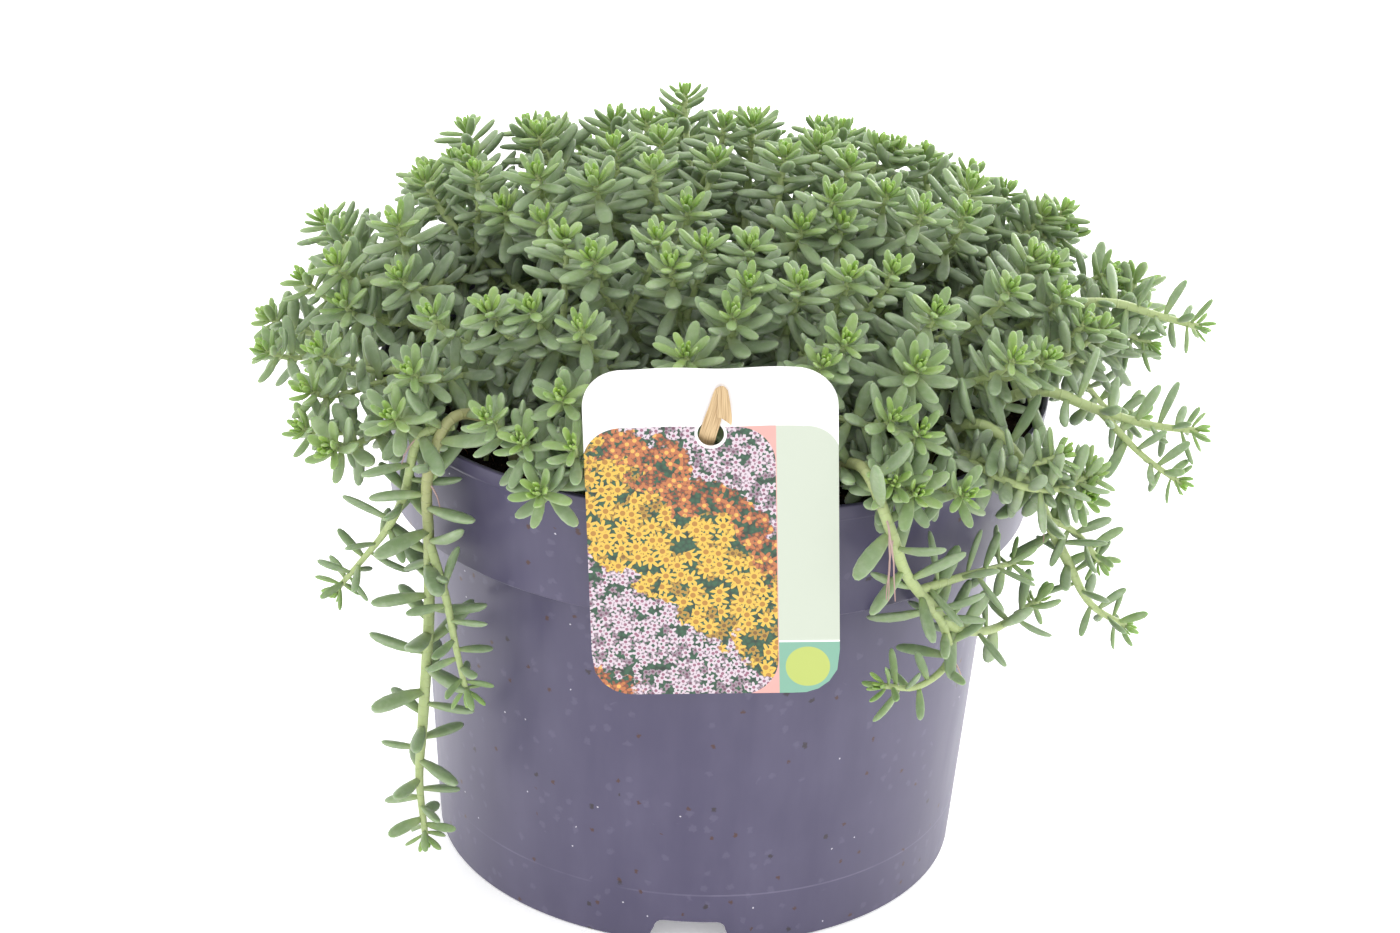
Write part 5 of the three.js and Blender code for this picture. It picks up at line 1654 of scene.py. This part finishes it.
def build_stage(look):
    corners = np.array([(-1, -1, 0), (1, -1, 0), (1, 1, 0), (-1, 1, 0)])
    floor = mesh_piece("studio_floor", corners * (look.floor_size / 2 / MM),
                       faces=[(0, 1, 2, 3)], material=studio_paper())
    floor.location.z = -FLOOR_BELOW * MM
    scene = bpy.context.scene
    scene.view_settings.view_transform = "Standard"
    world = bpy.data.worlds.new("Studio")
    world.use_nodes = True
    light = world.node_tree.nodes["Background"].inputs
    light["Strength"].default_value = look.room_light
    light["Color"].default_value = (1, 1, 1, 1)
    scene.world = world
    target = Vector(SIGHT_TARGET) * MM
    for name, place, size, power in LAMPS:
        lamp = bpy.data.lights.new(name, "AREA")
        lamp.size, lamp.energy = size, power * look.lamp_power
        holder = bpy.data.objects.new(name, lamp)
        holder.location = place
        holder.rotation_euler = (Vector(place) - target).to_track_quat("Z", "Y").to_euler()
        scene.collection.objects.link(holder)
    lens = bpy.data.cameras.new("Camera")
    lens.lens, lens.sensor_width, lens.clip_start = LENS, SENSOR, 0.01
    camera = bpy.data.objects.new("Camera", lens)
    back = Vector((0, -math.cos(SIGHT_ELEVATION), math.sin(SIGHT_ELEVATION)))
    camera.matrix_world = (Matrix.Translation(target + back * SIGHT_DISTANCE * MM)
                           @ Matrix.Rotation(math.pi / 2 - SIGHT_ELEVATION, 4, "X")
                           @ Matrix.Rotation(SIGHT_ROLL, 4, "Z"))
    scene.collection.objects.link(camera)
    scene.camera = camera


# Settings

def colour_setting(name, code, description):
    return FloatVectorProperty(name=name, description=description, default=srgb(code), size=4,
                               min=0, max=1, subtype="COLOR")


def length_setting(name, millimetres, description):
    return FloatProperty(name=name, description=description, default=millimetres * MM, min=0,
                         unit="LENGTH", precision=5)


class PotLook(bpy.types.PropertyGroup):
    colour: colour_setting("Colour", "#48435e", "The plastic's own colour")
    smudge_colour: colour_setting("Smudges", "#757089", "Colour of smudges and dried drops")
    edge_radius: length_setting("Edge radius", 0.5, "How round the moulded edges are")


class SoilLook(bpy.types.PropertyGroup):
    moist_colour: colour_setting("Moist", "#1d1612", "Colour where the soil is moist")
    dry_colour: colour_setting("Dry", "#4a3529", "Colour where the soil has dried")
    crumb_size: length_setting("Crumb size", 2.2, "Width of a middling crumb")
    crumbs: FloatProperty(name="Crumbs", description="Loose crumbs on each square metre of the top",
                          default=90000, min=0)
    fibres: IntProperty(name="Fibres", description="Coir fibres on the top", default=260, min=0)


class LabelLook(bpy.types.PropertyGroup):
    card_colour: colour_setting("Card", "#f4f2f4", "Colour where nothing is printed")
    strip_colour: colour_setting("Strip", "#bcc4b5", "Colour of the strip at the right")
    accent_colour: colour_setting("Accent", "#d99f98", "Colour of the slivers beside the picture")
    thickness: length_setting("Thickness", 0.45, "Thickness of the card")
    wave: length_setting("Wave", 1.1, "How far the top edge waves out")


class TieLook(bpy.types.PropertyGroup):
    colour: colour_setting("Colour", "#cfb48a", "The raffia's own colour")
    fibre_colour: colour_setting("Fibres", "#a2835b", "Colour of the darker fibres")
    width: length_setting("Width", 3.9, "Width of the strand")
    thickness: length_setting("Thickness", 0.38, "Thickness of the strand")


class PlantLook(bpy.types.PropertyGroup):
    young_colour: colour_setting("Young leaves", "#82a332", "Colour in the middle of a rosette")
    mature_colour: colour_setting("Grown leaves", "#849971", "Colour of a grown leaf")
    # The old leaves' colour is also painted shade for leaves deep under the dome.
    old_and_shaded_colour: colour_setting("Old leaves", "#829177", "Colour of the most shaded leaves")
    base_colour: colour_setting("Leaf bases", "#b0bf80", "Colour where a leaf meets its stem")
    # Pale skin is the lower sides' and mottling's own colour, and also the painted sheen on rims
    # and tips.
    pale_and_sheen_colour: colour_setting("Pale skin", "#b0bba3", "Colour of rims and lower sides")
    stem_colour: colour_setting("Stems", "#aab981", "Colour of a soft stem")
    woody_colour: colour_setting("Old stems", "#a29f70", "Colour of a stem near the soil")
    leaf_size: FloatProperty(name="Leaf size", description="Leaf lengths against the usual ones",
                             default=1.0, min=0.3, max=2.0)
    stem_radius: length_setting("Stem radius", 1.35, "Radius at the foot of a middling shoot")
    seed: IntProperty(name="Seed", description="Chance places and sizes of the leaves",
                      default=5, min=0)


class StageLook(bpy.types.PropertyGroup):
    floor_size: FloatProperty(name="Floor", description="Width of the floor",
                              default=6.0, min=1, unit="LENGTH")
    room_light: FloatProperty(name="Room light", description="Strength of the even light",
                              default=1.27, min=0)
    lamp_power: FloatProperty(name="Lamps", description="Power of the lamps against the usual one",
                              default=0.3, min=0)


SETTINGS = {
    "stonecrop_pot": PotLook,
    "stonecrop_soil": SoilLook,
    "stonecrop_label": LabelLook,
    "stonecrop_tie": TieLook,
    "stonecrop_plant": PlantLook,
    "stonecrop_stage": StageLook,
}


# Operators

class MakePot(bpy.types.Operator):
    """Makes the pot: a tapered body, a wider collar, a drained foot ring with notches"""
    bl_idname = "stonecrop.pot"
    bl_label = "Make the pot"

    def execute(self, context):
        build_pot(context.scene.stonecrop_pot)
        return {"FINISHED"}


class MakeSoil(bpy.types.Operator):
    """Makes the potting soil with its clods, crumbs and fibres"""
    bl_idname = "stonecrop.soil"
    bl_label = "Make the soil"

    def execute(self, context):
        build_soil(context.scene.stonecrop_soil)
        return {"FINISHED"}


class MakeLabel(bpy.types.Operator):
    """Makes the printed label with its hole"""
    bl_idname = "stonecrop.label"
    bl_label = "Make the label"

    def execute(self, context):
        build_label(context.scene.stonecrop_label)
        return {"FINISHED"}


class MakeTie(bpy.types.Operator):
    """Makes the raffia strand that comes through the label's hole and folds over its face"""
    bl_idname = "stonecrop.tie"
    bl_label = "Make the tie"

    def execute(self, context):
        build_tie(context.scene.stonecrop_tie)
        return {"FINISHED"}


class MakeStems(bpy.types.Operator):
    """Makes the stems from the soil to every tip, and the air roots on the long ones"""
    bl_idname = "stonecrop.stems"
    bl_label = "Make the stems"

    def execute(self, context):
        build_stems(context.scene.stonecrop_plant)
        return {"FINISHED"}


class MakeLeaves(bpy.types.Operator):
    """Makes the leaves, on a spiral down every shoot"""
    bl_idname = "stonecrop.leaves"
    bl_label = "Make the leaves"

    def execute(self, context):
        build_leaves(context.scene.stonecrop_plant)
        return {"FINISHED"}


class MakeStage(bpy.types.Operator):
    """Makes the floor, the light and the camera"""
    bl_idname = "stonecrop.stage"
    bl_label = "Make the stage"

    def execute(self, context):
        build_stage(context.scene.stonecrop_stage)
        return {"FINISHED"}


OPERATORS = (MakePot, MakeSoil, MakeLabel, MakeTie, MakeStems, MakeLeaves, MakeStage)


class StonecropPanel(bpy.types.Panel):
    """Lists the pieces' settings and operators"""
    bl_idname = "VIEW3D_PT_stonecrop"
    bl_label = "Potted Stonecrop"
    bl_space_type = "VIEW_3D"
    bl_region_type = "UI"
    bl_category = "Stonecrop"

    def draw(self, context):
        for name in SETTINGS:
            box = self.layout.box()
            settings = getattr(context.scene, name)
            for key in settings.bl_rna.properties.keys():
                if key not in ("rna_type", "name"):
                    box.prop(settings, key)
        for operator in OPERATORS:
            self.layout.operator(operator.bl_idname)


def register():
    for kind in (*SETTINGS.values(), *OPERATORS, StonecropPanel):
        bpy.utils.register_class(kind)
    for name, kind in SETTINGS.items():
        setattr(bpy.types.Scene, name, PointerProperty(type=kind))


def unregister():
    for name in SETTINGS:
        delattr(bpy.types.Scene, name)
    for kind in reversed((*SETTINGS.values(), *OPERATORS, StonecropPanel)):
        bpy.utils.unregister_class(kind)


def main():
    register()
    for operator in OPERATORS:
        getattr(bpy.ops.stonecrop, operator.bl_idname.split(".")[1])()
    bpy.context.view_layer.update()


if __name__ == "__main__":
    main()
